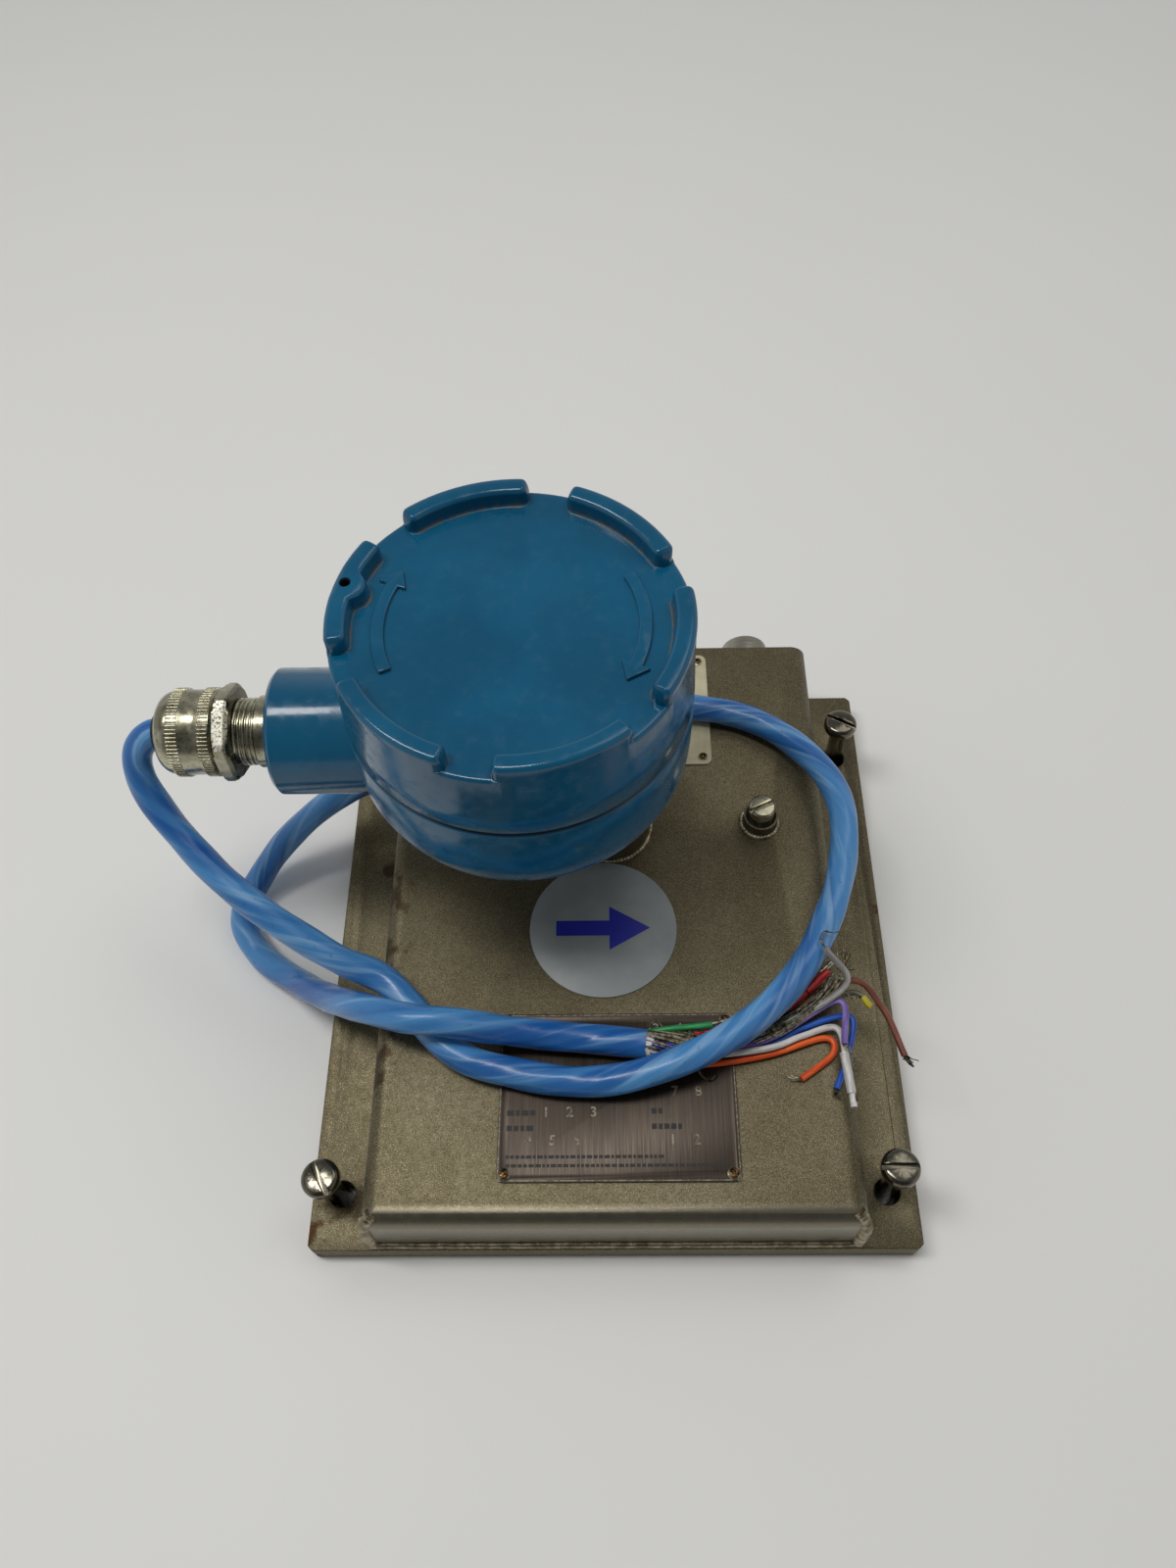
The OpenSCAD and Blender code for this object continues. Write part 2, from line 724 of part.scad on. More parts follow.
// The wires leave the jacket's cut end in a circle, at an angle from +Y
function wire_start(a) = jacket_route[len(jacket_route) - 1]
    + [-0.5, wire_ring * cos(a), wire_ring * sin(a)];

module wire(start_angle, route) {
    swept(concat([wire_start(start_angle)], route), wire_d, 8);
}

module wire_orange() {
    color("#e2571e") wire(180, [[25, -52.7, 37.2], [46, -49.8, 36.8], [64, -44.5, 36.4],
        [66, -49.5, 36.4], [56, -57, 36.4]]);
}

module wire_white() {
    color("#d6d4ce") wire(140, [[25, -50.8, 39.5], [46, -48.6, 39.3], [57, -44.4, 38],
        [67.5, -42, 38.2], [69.4, -52, 39], [70.2, -66, 38.2]]);
}

module wire_violet() {
    color("#7b5fae") wire(100, [[25, -48.5, 39.5], [46, -46, 39.5], [68.5, -34.5, 41.2],
        [69, -48, 41.2]]);
}

module wire_gray() {
    color("#8e8c88") wire(60, [[25, -46, 39.5], [46, -43.5, 39.6], [70.5, -31, 44.4],
        [64.5, -21, 50.2]]);
}

module wire_blue() {
    color("#1e57b8") wire(220, [[25, -49.5, 37.2], [46, -47.2, 37.1], [57, -41.8, 37.1],
        [72.5, -38, 37], [70, -51, 35.8], [66, -60, 36.2]]);
}

module wire_yellow() {
    color("#d9c51b") wire(260, [[25, -47.2, 37.2], [46, -44.6, 37.1], [72, -31, 38.2],
        [79, -35, 37.6]]);
}

module wire_brown() {
    color("#7d4633") wire(300, [[25, -44.8, 37.2], [46, -42.1, 37.1], [72, -28, 41],
        [82, -36, 39], [87.5, -50, 36]]);
}

module wire_red() {
    color("#b3202a") wire(340, [[25, -43.5, 39.5], [46, -41.1, 39.5], [67, -24, 38.5]]);
}

module wire_green() {
    color("#1f8a4a") wire(20, [[18, -43.2, 42], [30, -42, 41.8]]);
}

// Bare strands that go on from the stripped end of the green wire
module green_strands() {
    color("#9a9a96") swept([[29.5, -42, 41.8], [37, -39.6, 39.6], [47, -38.7, 37.6],
        [70, -19, 37]], strands_d, 8);
}

back_plate();
case_cover();
manifold();
inlet_fitting();
outlet_fitting();
lower_flow_tube();
upper_flow_tube();
inlet_brace_bars();
outlet_brace_bars();
drive_coil();
drive_magnet();
inlet_pickoff_coil();
inlet_pickoff_magnet();
outlet_pickoff_coil();
outlet_pickoff_magnet();
temperature_sensor();
purge_boss();
purge_seal();
purge_plug();
neck();
feedthrough();
jbox_body();
jbox_cover();
cover_oring();
terminal_block();
terminal_screws();
ground_screw();
gland_body();
gland_bushing();
gland_washer();
gland_nut();
data_plate();
data_plate_rivets();
badge_disc();
approval_plate();
approval_plate_rivets();
mounting_screws();
cable_jacket();
green_strands();
wire_red();
wire_orange();
wire_yellow();
wire_green();
wire_blue();
wire_violet();
wire_gray();
wire_white();
wire_brown();
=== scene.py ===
"""Finish and fine detail of a back-plate mounted Coriolis flow sensor.

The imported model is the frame: metres, +Z up from the plate, +Y to the process
fittings. Outlines and routes are written in millimetres, and so are named
sizes, unless their comment gives another unit.
"""
import json
import math
import random

import bmesh
import bpy
from mathutils import Matrix, Vector, noise


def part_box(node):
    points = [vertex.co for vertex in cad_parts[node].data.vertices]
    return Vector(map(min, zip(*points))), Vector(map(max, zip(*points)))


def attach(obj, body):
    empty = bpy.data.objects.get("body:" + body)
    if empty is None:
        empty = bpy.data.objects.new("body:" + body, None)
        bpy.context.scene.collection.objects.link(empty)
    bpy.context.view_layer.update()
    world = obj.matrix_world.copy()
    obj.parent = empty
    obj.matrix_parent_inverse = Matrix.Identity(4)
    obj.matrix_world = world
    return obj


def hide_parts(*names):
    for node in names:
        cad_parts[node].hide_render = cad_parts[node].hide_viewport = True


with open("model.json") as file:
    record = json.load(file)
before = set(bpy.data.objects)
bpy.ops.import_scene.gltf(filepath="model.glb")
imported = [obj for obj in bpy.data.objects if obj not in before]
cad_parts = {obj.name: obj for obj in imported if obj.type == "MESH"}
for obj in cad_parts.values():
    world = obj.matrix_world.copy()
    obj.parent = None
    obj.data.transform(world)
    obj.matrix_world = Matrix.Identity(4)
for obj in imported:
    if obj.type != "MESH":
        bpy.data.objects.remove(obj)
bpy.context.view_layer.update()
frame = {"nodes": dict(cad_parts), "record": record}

MM = 0.001
TAU = 2 * math.pi
NODES = frame["nodes"]
BODY_OF = {
    node: body
    for body, members in frame["record"]["behaviour"]["bodies"].items()
    for node in members
}

# Points on the axes of the junction box and of the cable gland, in metres
BOX_AXIS = Vector((-0.025, 0.0305, 0.0))
GLAND_AXIS = Vector((0.0, 0.0305, 0.094))
# Heights in millimetres
PLATE_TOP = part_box("back_plate")[1].z / MM
CASE_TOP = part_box("case_cover")[1].z / MM
# Radius of the rivet heads, in millimetres
RIVETS = {"data_plate_rivets": 1.75, "approval_plate_rivets": 1.4}


# ---------- helpers ----------

def linked(name, data):
    """A new object in the scene."""
    made = bpy.data.objects.new(name, data)
    bpy.context.scene.collection.objects.link(made)
    return made


def baked(holder):
    """The mesh of an object with its modifiers done. The object itself is removed."""
    graph = bpy.context.evaluated_depsgraph_get()
    mesh = bpy.data.meshes.new_from_object(holder.evaluated_get(graph))
    bpy.data.objects.remove(holder)
    return mesh


def edges_of(node):
    """Left, right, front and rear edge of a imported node, in millimetres."""
    low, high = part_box(node)
    return low.x / MM, high.x / MM, low.y / MM, high.y / MM


def rivet_places(node):
    """Middle of the top of each of the four rivet heads of a plate."""
    low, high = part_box(node)
    inset = RIVETS[node] * MM
    columns = (low.x + inset, high.x - inset)
    rows = (low.y + inset, high.y - inset)
    return [(x, y, high.z) for x in columns for y in rows]


# ---------- camera ----------

def make_camera():
    """Camera before the front edge, high up and looking down on the cover."""
    data = bpy.data.cameras.new("camera")
    data.sensor_width = 36
    data.lens = 27.56
    camera = linked("camera", data)
    place = Matrix.Translation((0.000168, -0.16715, 0.387))
    turn = Matrix.Rotation(math.radians(2.016), 4, "Z")
    tilt = Matrix.Rotation(math.radians(31.33), 4, "X")
    roll = Matrix.Rotation(math.radians(-2.339), 4, "Z")
    camera.matrix_world = place @ turn @ tilt @ roll
    bpy.context.scene.camera = camera


# ---------- materials ----------

def tint(code):
    """Linear colour of a written web colour such as 8a8378."""
    channels = [int(code[i:i + 2], 16) / 255 for i in (0, 2, 4)]
    linear = [c / 12.92 if c <= 0.04045 else ((c + 0.055) / 1.055) ** 2.4 for c in channels]
    return (*linear, 1.0)


class NodeMaker:
    """Adds nodes to a tree, with their inputs given as values or as links."""

    prefix = "ShaderNode"

    def __init__(self, tree):
        self.tree = tree

    def node(self, kind, inputs=None, **settings):
        made = self.tree.nodes.new(kind if "Node" in kind else self.prefix + kind)
        for key, value in settings.items():
            setattr(made, key, value)
        for key, value in (inputs or {}).items():
            self.feed(made.inputs[key], value)
        return made

    def feed(self, socket, value):
        if isinstance(value, bpy.types.NodeSocket):
            self.tree.links.new(value, socket)
        else:
            socket.default_value = value

    def calc(self, operation, a, b=0.0):
        return self.node("ShaderNodeMath", {0: a, 1: b}, operation=operation).outputs[0]

    def both(self, a, b):
        """Product of two shares."""
        return self.calc("MULTIPLY", a, b)

    def step(self, value, low, high, start=0.0, end=1.0):
        """Turns smoothly from start to end as the value goes from low to high."""
        inputs = {"Value": value, "From Min": low, "From Max": high, "To Min": start, "To Max": end}
        return self.node("ShaderNodeMapRange", inputs, interpolation_type="SMOOTHSTEP").outputs[0]

    def measure(self, operation, a, b):
        """Distance or dot product of two vectors."""
        inputs = {0: a, 1: b}
        return self.node("ShaderNodeVectorMath", inputs, operation=operation).outputs["Value"]

    def split(self, vector):
        """The X, Y and Z of a vector."""
        return self.node("ShaderNodeSeparateXYZ", {0: vector}).outputs


class Finish(NodeMaker):
    """A surface finish, built node by node on one principled shader."""

    def __init__(self, name, roughness=0.5, metallic=0.0, **sockets):
        self.material = bpy.data.materials.new(name)
        self.material.use_nodes = True
        super().__init__(self.material.node_tree)
        self.shader = self.tree.nodes["Principled BSDF"]
        self.set("Roughness", roughness)
        self.set("Metallic", metallic)
        for socket, value in sockets.items():
            self.set(socket.replace("_", " "), value)
        coordinates = self.node("TexCoord")
        self.place = coordinates.outputs["Object"]
        self.unwrapped = coordinates.outputs["UV"]

    def set(self, socket, value):
        self.feed(self.shader.inputs[socket], value)

    def noise(self, scale, detail=3.0, stretch=None, place=None, roughness=0.5):
        where = place or self.place
        if stretch:
            where = self.node("VectorMath", {0: where, 1: stretch}, operation="MULTIPLY").outputs[0]
        inputs = {"Vector": where, "Scale": scale, "Detail": detail, "Roughness": roughness}
        return self.node("TexNoise", inputs).outputs[0]

    def streaks(self, detail, along, around):
        """Noise on a cord's own skin that closes on itself all round."""
        parts = self.split(self.unwrapped)
        turn = self.calc("MULTIPLY", parts[1], TAU)
        inputs = {
            0: self.calc("MULTIPLY", parts[0], along),
            1: self.calc("MULTIPLY", self.calc("COSINE", turn), around),
            2: self.calc("MULTIPLY", self.calc("SINE", turn), around),
        }
        return self.noise(1.0, detail, place=self.node("CombineXYZ", inputs).outputs[0])

    def mix(self, share, first, second):
        """Colour between two. The Mix node has more sockets of the same names, so numbers pick them."""
        made = self.node("Mix", data_type="RGBA")
        self.feed(made.inputs[0], share)
        self.feed(made.inputs[6], first)
        self.feed(made.inputs[7], second)
        return made.outputs[2]

    def blend(self, where, first, second):
        return self.mix(where, tint(first), tint(second))

    def mottled(self, scale, detail, low, high, first, second):
        """Colour that wanders between two, with rather firm borders."""
        return self.blend(self.step(self.noise(scale, detail), low, high), first, second)

    def grainy(self, scale, detail, first, second):
        """Colour that wanders softly between two."""
        return self.blend(self.noise(scale, detail), first, second)

    def over(self, colour, where, coat):
        return self.mix(where, colour, tint(coat))

    def stained(self, colour, scale, detail, low, high, share, stain):
        """Patches of a second colour over the first."""
        return self.over(colour, self.step(self.noise(scale, detail), low, high, 0.0, share), stain)

    def spotted(self, colour, scale, low, high, share, spot):
        """Small round dots of a second colour over the first."""
        cells = self.node("TexVoronoi", {"Vector": self.place, "Scale": scale}).outputs[0]
        return self.over(colour, self.step(cells, low, high, share, 0.0), spot)

    def greatest(self, shares):
        found, *others = shares
        for share in others:
            found = self.calc("MAXIMUM", found, share)
        return found

    def near(self, spots):
        """One near the given points and nought away from them. Each is (x, y, z, reach) in millimetres."""
        wobble = self.noise(220, 4)
        shares = []
        for x, y, z, reach in spots:
            distance = self.measure("DISTANCE", self.place, (x * MM, y * MM, z * MM))
            ragged = self.calc("MULTIPLY", distance, self.step(wobble, 0.3, 0.7, 0.5, 1.7))
            shares.append(self.step(ragged, reach * MM * 0.35, reach * MM, 1.0, 0.0))
        return self.greatest(shares)

    def grain(self, scale, detail, depth, strength=0.5):
        """Fine bump, as painted takes it."""
        return self.noise(scale, detail), depth, strength

    def painted(self, colour, *bumps):
        """The material, with this colour and bumps, each (height, depth in millimetres, strength)."""
        self.set("Base Color", colour)
        normal = None
        for height, depth, strength in bumps:
            inputs = {"Height": height, "Distance": depth * MM, "Strength": strength}
            if normal:
                inputs["Normal"] = normal
            normal = self.node("Bump", inputs).outputs[0]
        if normal:
            self.set("Normal", normal)
        return self.material


# Stains on the steel: x, y, z and reach in millimetres
DIRT = [
    (-72, 6, 31, 9), (-72, -14, 31, 7), (-71.5, -33, 32, 8), (-72.5, -52, 30, 9), (-73, -70, 22, 8),
    (-84, -86, 10, 6), (-78, 28, 10, 5), (-72, 60, 30, 7), (70, -94, 12, 6),
]
RUST = [(-92.5, -96, 8.5, 5), (-91, -99.5, 3, 5), (92, 10, 9, 2.2)]


def blasted_steel():
    """Bead-blasted stainless steel, smooth from drawing over the front bend and stained by use; lighter
    over the front bend and wall as a painted sheen, with pale flecks as painted glints.
    """
    f = Finish("blasted_steel", 0.5, 1.0)
    grain = f.noise(2300, 3, roughness=0.75)
    glint_grain = f.noise(3600, 1)
    parts = f.split(f.place)
    # The front bend, by how far forward and how high it is: smoother there, and lighter as a painted sheen
    drawn_and_sheen = f.both(f.step(parts[1], -0.0915, -0.0945), f.step(parts[2], 0.0105, 0.012))
    colour = f.blend(f.step(f.noise(28, 5, roughness=0.6), 0.3, 0.7), "6f664f", "827a62")
    colour = f.stained(colour, 110, 4, 0.55, 0.8, 0.14, "695f4c")
    colour = f.over(colour, f.step(grain, 0.4, 0.6, 0.0, 0.62), "4a4331")
    # Pale flecks: painted glints of the blasted grain
    colour = f.over(colour, f.step(glint_grain, 0.6, 0.7, 0.0, 0.6), "d0c7ab")
    # Painted sheen: lighter over the front bend and wall
    colour = f.over(colour, f.both(drawn_and_sheen, 0.7), "969080")
    colour = f.spotted(colour, 75, 0.02, 0.035, 0.6, "2f2a22")
    colour = f.over(colour, f.both(f.near(DIRT), 0.7), "3b2a1a")
    colour = f.over(colour, f.both(f.near(RUST), 0.85), "4a2a12")
    rough = f.step(f.noise(400, 3), 0.3, 0.7, 0.52, 0.58)
    f.set("Roughness", f.calc("SUBTRACT", rough, f.both(drawn_and_sheen, 0.2)))
    return f.painted(colour, f.grain(9, 2, 0.8, 0.3), (grain, 0.05, 0.6), (glint_grain, 0.03, 0.6))


def weld_metal():
    """Bright, uneven surface of a hand-laid weld."""
    f = Finish("weld_metal", 0.36, 1.0)
    colour = f.mottled(500, 4, 0.35, 0.65, "857b64", "b8ae96")
    colour = f.stained(colour, 170, 3, 0.55, 0.7, 0.7, "66573f")
    return f.painted(colour, f.grain(900, 3, 0.2, 0.6))


def machined_steel():
    """Turned steel with fine tool marks."""
    f = Finish("machined_steel", 0.34, 1.0)
    marks = f.noise(700, 2, (0.15, 4.0, 0.15))
    f.set("Roughness", f.step(marks, 0.3, 0.7, 0.25, 0.45))
    return f.painted(f.mottled(60, 4, 0.35, 0.7, "8f8a7e", "b4afa3"), (marks, 0.08, 0.6))


def blue_enamel():
    """Thick glossy enamel on a casting, with chips, painted shade along the gap between cover and bowl,
    and dirt at the foot of the lugs.
    """
    f = Finish("blue_enamel", 0.2, 0.0, Coat_Weight=0.08, Coat_Roughness=0.05)
    colour = f.mottled(35, 4, 0.35, 0.7, "065274", "085d81")
    colour = f.stained(colour, 26, 3, 0.5, 0.75, 0.05, "4d7f96")
    colour = f.spotted(colour, 44, 0.012, 0.018, 0.85, "0a2634")
    # The gap between the cover and the bowl, by its height, darkened there as painted shade
    height = f.split(f.place)[2]
    seam_shade = f.both(f.step(height, 0.1164, 0.1167), f.step(height, 0.1183, 0.118))
    colour = f.over(colour, f.both(seam_shade, 0.85), "03161f")
    grime = f.node("Attribute", attribute_name="grime").outputs["Fac"]
    ragged = f.both(grime, f.step(f.noise(420, 4), 0.32, 0.6))
    colour = f.mix(ragged, colour, f.grainy(600, 3, "3f3a2c", "74684f"))
    gloss = f.step(f.noise(300, 4), 0.4, 0.75, 0.14, 0.3)
    f.set("Roughness", f.calc("ADD", gloss, f.both(grime, 0.4)))
    return f.painted(colour, f.grain(150, 2, 0.2, 0.1))


def zinc_plate():
    """Bright plating, dark on the hexagon's back edge, pitted where wrenches have gripped, and with a
    painted highlight on the hexagon's flat that faces up and forward.
    """
    f = Finish("zinc_plate", 0.3, 1.0)
    # Bands across the hexagon, by their place along the gland
    along = f.split(f.place)[0]
    off_middle = f.calc("ABSOLUTE", f.calc("ADD", along, HEX_MIDDLE * MM))
    grip = f.step(off_middle, 0.0021, 0.0025, 1.0, 0.0)
    back = f.both(f.step(along, -0.1106, -0.1098), f.step(along, -0.1084, -0.1087))
    facing = f.measure("DOT_PRODUCT", f.node("NewGeometry").outputs["Normal"], (0.0, -0.5, 0.866))
    # Painted highlight on the flat that faces up and forward, which also gets more pits and more roughness
    highlit_flat = f.both(grip, f.step(facing, 0.9, 0.95))
    pits = f.step(f.calc("ADD", f.noise(1500, 3, roughness=0.7), f.both(highlit_flat, 0.09)), 0.63, 0.65)
    colour = f.mottled(150, 4, 0.35, 0.68, "908c76", "c6c2aa")
    colour = f.over(colour, f.both(highlit_flat, 0.85), "efeddd")
    colour = f.over(colour, f.both(back, 0.75), "4c4836")
    colour = f.over(colour, f.both(pits, 0.9), "1d1c17")
    rough = f.step(f.noise(500, 4), 0.35, 0.7, 0.2, 0.3)
    f.set("Roughness", f.calc("ADD", rough, f.both(highlit_flat, 0.12)))
    return f.painted(colour, (pits, 0.05, -0.4), f.grain(1900, 2, 0.02, 0.3))


def screw_steel():
    """Bright stainless screws with drag marks."""
    f = Finish("screw_steel", 0.2, 1.0)
    drag = f.noise(900, 3, (1.0, 5.0, 1.0))
    colour = f.mottled(240, 4, 0.4, 0.7, "6a665a", "7c776a")
    colour = f.over(colour, f.step(drag, 0.6, 0.72, 0.0, 0.3), "4d483c")
    f.set("Roughness", f.step(drag, 0.3, 0.75, 0.12, 0.24))
    return f.painted(colour, (drag, 0.02, 0.4))


def coil_copper():
    """Enamelled copper winding."""
    f = Finish("coil_copper", 0.35, 1.0)
    turns = f.noise(300, 1, (0.05, 0.05, 12.0))
    return f.painted(f.blend(f.step(turns, 0.4, 0.6), "8f4a22", "c77b45"), (turns, 0.2, 0.7))


def magnet_metal():
    """Nickel-plated magnet metal."""
    f = Finish("magnet_metal", 0.25, 1.0)
    return f.painted(f.grainy(400, 3, "8b8d90", "c2c4c6"), f.grain(1400, 2, 0.04))


def black_rubber():
    """Dusty black rubber."""
    f = Finish("black_rubber", 0.6)
    colour = f.mottled(500, 4, 0.5, 0.75, "131313", "3a3936")
    return f.painted(colour, f.grain(1200, 3, 0.1))


def dark_resin():
    """Moulded resin of the terminal strip and the feedthrough."""
    f = Finish("dark_resin", 0.42)
    return f.painted(f.grainy(260, 4, "1d1714", "33281f"), f.grain(900, 3, 0.08))


def green_screw():
    """Green passivated ground screw."""
    f = Finish("green_screw", 0.35, 0.8)
    colour = f.mottled(500, 4, 0.4, 0.7, "22733f", "58a070")
    return f.painted(colour, f.grain(1500, 2, 0.05))


def etched_plate():
    """Dark brushed plate metal; the brush ran along Y."""
    f = Finish("etched_plate", 0.36, 0.6)
    brush = f.noise(420, 3, (5.0, 0.06, 1.0))
    fine = f.noise(1400, 2, (3.0, 0.05, 1.0))
    colour = f.blend(f.step(brush, 0.3, 0.7), "2d251e", "3f352b")
    colour = f.stained(colour, 45, 3, 0.35, 0.7, 0.3, "4a3f33")
    colour = f.stained(colour, 330, 5, 0.6, 0.75, 0.4, "2a231d")
    f.set("Roughness", f.step(fine, 0.3, 0.7, 0.3, 0.42))
    return f.painted(colour, (brush, 0.006, 0.5), (fine, 0.006, 0.4))


def plate_ink():
    """Black filling of etched marks."""
    f = Finish("plate_ink", 0.55)
    return f.painted(f.grainy(900, 3, "060605", "161412"), f.grain(2000, 2, 0.03))


def stamped_mark():
    """Light edge of numbers stamped in the plate."""
    f = Finish("stamped_mark", 0.5, 0.3)
    colour = f.mottled(900, 4, 0.42, 0.6, "5d5547", "928978")
    return f.painted(colour, f.grain(2000, 2, 0.03))


def plate_rivet():
    """Drive rivets, each a bright rolled rim round a tarnished hollow."""
    f = Finish("plate_rivet", 0.3, 1.0)
    hollows = []
    for node, radius in RIVETS.items():
        for middle in rivet_places(node):
            away = f.measure("DISTANCE", f.place, middle)
            hollows.append(f.step(away, 0.7 * radius * MM, 0.85 * radius * MM, 1.0, 0.0))
    rim = f.mottled(800, 3, 0.4, 0.65, "b5ad96", "7a6a4a")
    core = f.mottled(1500, 3, 0.45, 0.6, "241a10", "6b5434")
    return f.painted(f.mix(f.greatest(hollows), rim, core), f.grain(1500, 2, 0.05))


def grey_badge():
    """Satin grey printed foil."""
    f = Finish("grey_badge", 0.5, 0.0, Coat_Weight=0.08, Coat_Roughness=0.3)
    colour = f.spotted(f.mottled(70, 3, 0.35, 0.7, "868c8c", "949998"), 190, 0.03, 0.05, 0.5, "5a5f60")
    return f.painted(colour, f.grain(1600, 2, 0.03))


def badge_ink():
    """Deep blue print."""
    f = Finish("badge_ink", 0.35, 0.0, Coat_Weight=0.3, Coat_Roughness=0.2)
    return f.painted(f.grainy(700, 3, "1b1f92", "2a30ac"), f.grain(1600, 2, 0.03, 0.4))


def pale_plate():
    """Pale anodised plate."""
    f = Finish("pale_plate", 0.5, 0.15)
    colour = f.spotted(f.mottled(120, 4, 0.35, 0.7, "bdb592", "cfc8a8"), 160, 0.03, 0.06, 0.6, "4b4435")
    return f.painted(colour, f.grain(900, 3, 0.05))


def jacket_blue():
    """Thin glossy blue jacket pulled tight over twisted pairs, whose lay shows as slanted streaks of
    painted highlight and shade over its lumps, with pale fine streaks as painted glints.
    """
    f = Finish("jacket_blue", 0.3, 0.0, Coat_Weight=0.15, Coat_Roughness=0.12)
    lumps_and_sheen = f.streaks(2, 10.0, 0.52)
    fine = f.streaks(2, 34.0, 1.7)
    # Light and dark bands along the lay: painted highlight and shade over the jacket's lumps
    colour = f.blend(f.step(lumps_and_sheen, 0.32, 0.66), "1b5aa3", "4c8fcb")
    # Pale fine streaks: painted glints
    colour = f.over(colour, f.step(fine, 0.5, 0.72, 0.0, 0.5), "97c4e6")
    colour = f.stained(colour, 420, 4, 0.64, 0.74, 0.35, "1d3f68")
    f.set("Roughness", f.step(fine, 0.3, 0.7, 0.26, 0.42))
    return f.painted(colour, (lumps_and_sheen, 0.9, 0.55), (fine, 0.4, 0.5), f.grain(900, 2, 0.03, 0.4))


def wire_cover(name, dark, light, bare_from=1.0, bare_to=1.0):
    """Insulation of one wire, scuffed along its length and stripped over a bare stretch."""
    f = Finish(name, 0.38)
    scuff = f.streaks(3, 120.0, 0.8)
    colour = f.blend(f.step(scuff, 0.35, 0.7), dark, light)
    colour = f.stained(colour, 700, 3, 0.6, 0.72, 0.35, "54504a")
    if bare_to < 1.0:
        run = f.split(f.unwrapped)[0]
        stripped = f.both(f.calc("GREATER_THAN", run, bare_from), f.calc("LESS_THAN", run, bare_to))
        strands = f.blend(f.step(f.streaks(2, 300.0, 3.0), 0.4, 0.6), "2b281f", "857d63")
        colour = f.mix(stripped, colour, strands)
    return f.painted(colour, (scuff, 0.1, 0.5))


def strand_metal():
    """Tinned copper strands."""
    f = Finish("strand_metal", 0.32, 1.0)
    colour = f.mottled(900, 3, 0.35, 0.65, "6f6956", "d2cbb2")
    return f.painted(colour, f.grain(2500, 2, 0.04))


def filler_white():
    """Torn tape and filler at the cable's cut end."""
    f = Finish("filler_white", 0.75)
    return f.painted(f.grainy(900, 4, "b9bcbd", "e8eaea"), f.grain(1500, 3, 0.1, 0.6))


def burnt_strand():
    """Tarnished copper strands of the cut ends."""
    f = Finish("burnt_strand", 0.45, 0.8)
    colour = f.mottled(900, 3, 0.35, 0.65, "2c271d", "766c55")
    return f.painted(colour, f.grain(2500, 2, 0.04))


def hole_black():
    """Near-black lining of a blind hole, painted shade in its depth."""
    f = Finish("hole_black", 0.8)
    return f.painted(f.grainy(900, 3, "050505", "10100f"))


def floor_paint():
    """Matt pale table top."""
    f = Finish("floor_paint", 0.55)
    return f.painted(f.grainy(6, 3, "f0f0ed", "f4f4f2"), f.grain(300, 2, 0.1, 0.2))


# Dark and light shade of each wire, and where along it, in metres, its core is bare
WIRES = {
    "wire_red": ("a8161d", "dd383c"), "wire_orange": ("d8420d", "f4702c"),
    "wire_yellow": ("b7a411", "e8dc2f", 0.046, 0.0715), "wire_green": ("13703a", "35a862"),
    "wire_blue": ("123f9f", "2e6bd0"), "wire_violet": ("67509c", "9a82c8"),
    "wire_gray": ("7a7875", "aaa8a3"), "wire_white": ("b5b3ae", "e4e2de"),
    "wire_brown": ("5e2f20", "8f523e"),
}


def make_materials():
    """Every finish by name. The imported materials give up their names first."""
    recipes = [
        blasted_steel, weld_metal, machined_steel, blue_enamel, zinc_plate, screw_steel,
        coil_copper, magnet_metal, black_rubber, dark_resin, green_screw, etched_plate, plate_ink,
        stamped_mark, plate_rivet, grey_badge, badge_ink, pale_plate, jacket_blue, strand_metal,
        burnt_strand, filler_white, hole_black, floor_paint,
    ]
    for packed in {slot.material for node in NODES.values() for slot in node.material_slots}:
        packed.name = "packed_" + packed.name
    made = {recipe.__name__: recipe() for recipe in recipes}
    made.update({name: wire_cover(name, *shades) for name, shades in WIRES.items()})
    return made


# ---------- mesh helpers ----------

def finished(name, mesh, body, material, replaced=(), sharp=35.0):
    """Wraps a mesh as a piece that rides on a body."""
    piece = linked(name, mesh)
    mesh.materials.clear()
    mesh.materials.append(MATERIALS[material])
    for polygon in mesh.polygons:
        polygon.use_smooth = True
    mesh.set_sharp_from_angle(angle=math.radians(sharp))
    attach(piece, body)
    if replaced:
        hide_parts(*replaced)
    return piece


def raw_mesh(name, points, faces):
    mesh = bpy.data.meshes.new(name)
    mesh.from_pydata([tuple(p) for p in points], [], faces)
    return mesh


def merged(mesh, gap=1e-7):
    """Joins points that meet, and turns the faces outwards."""
    edit = bmesh.new()
    edit.from_mesh(mesh)
    bmesh.ops.remove_doubles(edit, verts=edit.verts, dist=gap)
    bmesh.ops.recalc_face_normals(edit, faces=edit.faces)
    edit.to_mesh(mesh)
    edit.free()
    return mesh


def solid(name, shape, body, material, replaced=(), sharp=35.0):
    """A piece made from its points and faces."""
    return finished(name, merged(raw_mesh(name, *shape)), body, material, replaced, sharp)


def bevelled(name, mesh, width, segments, sharp):
    """A mesh with its sharp edges broken: width in millimetres, sharp in degrees."""
    holder = linked(name + "_raw", mesh)
    bevel = holder.modifiers.new("edges", "BEVEL")
    bevel.width = width * MM
    bevel.segments = segments
    bevel.limit_method = "ANGLE"
    bevel.angle_limit = math.radians(sharp)
    bevel.harden_normals = False
    return baked(holder)


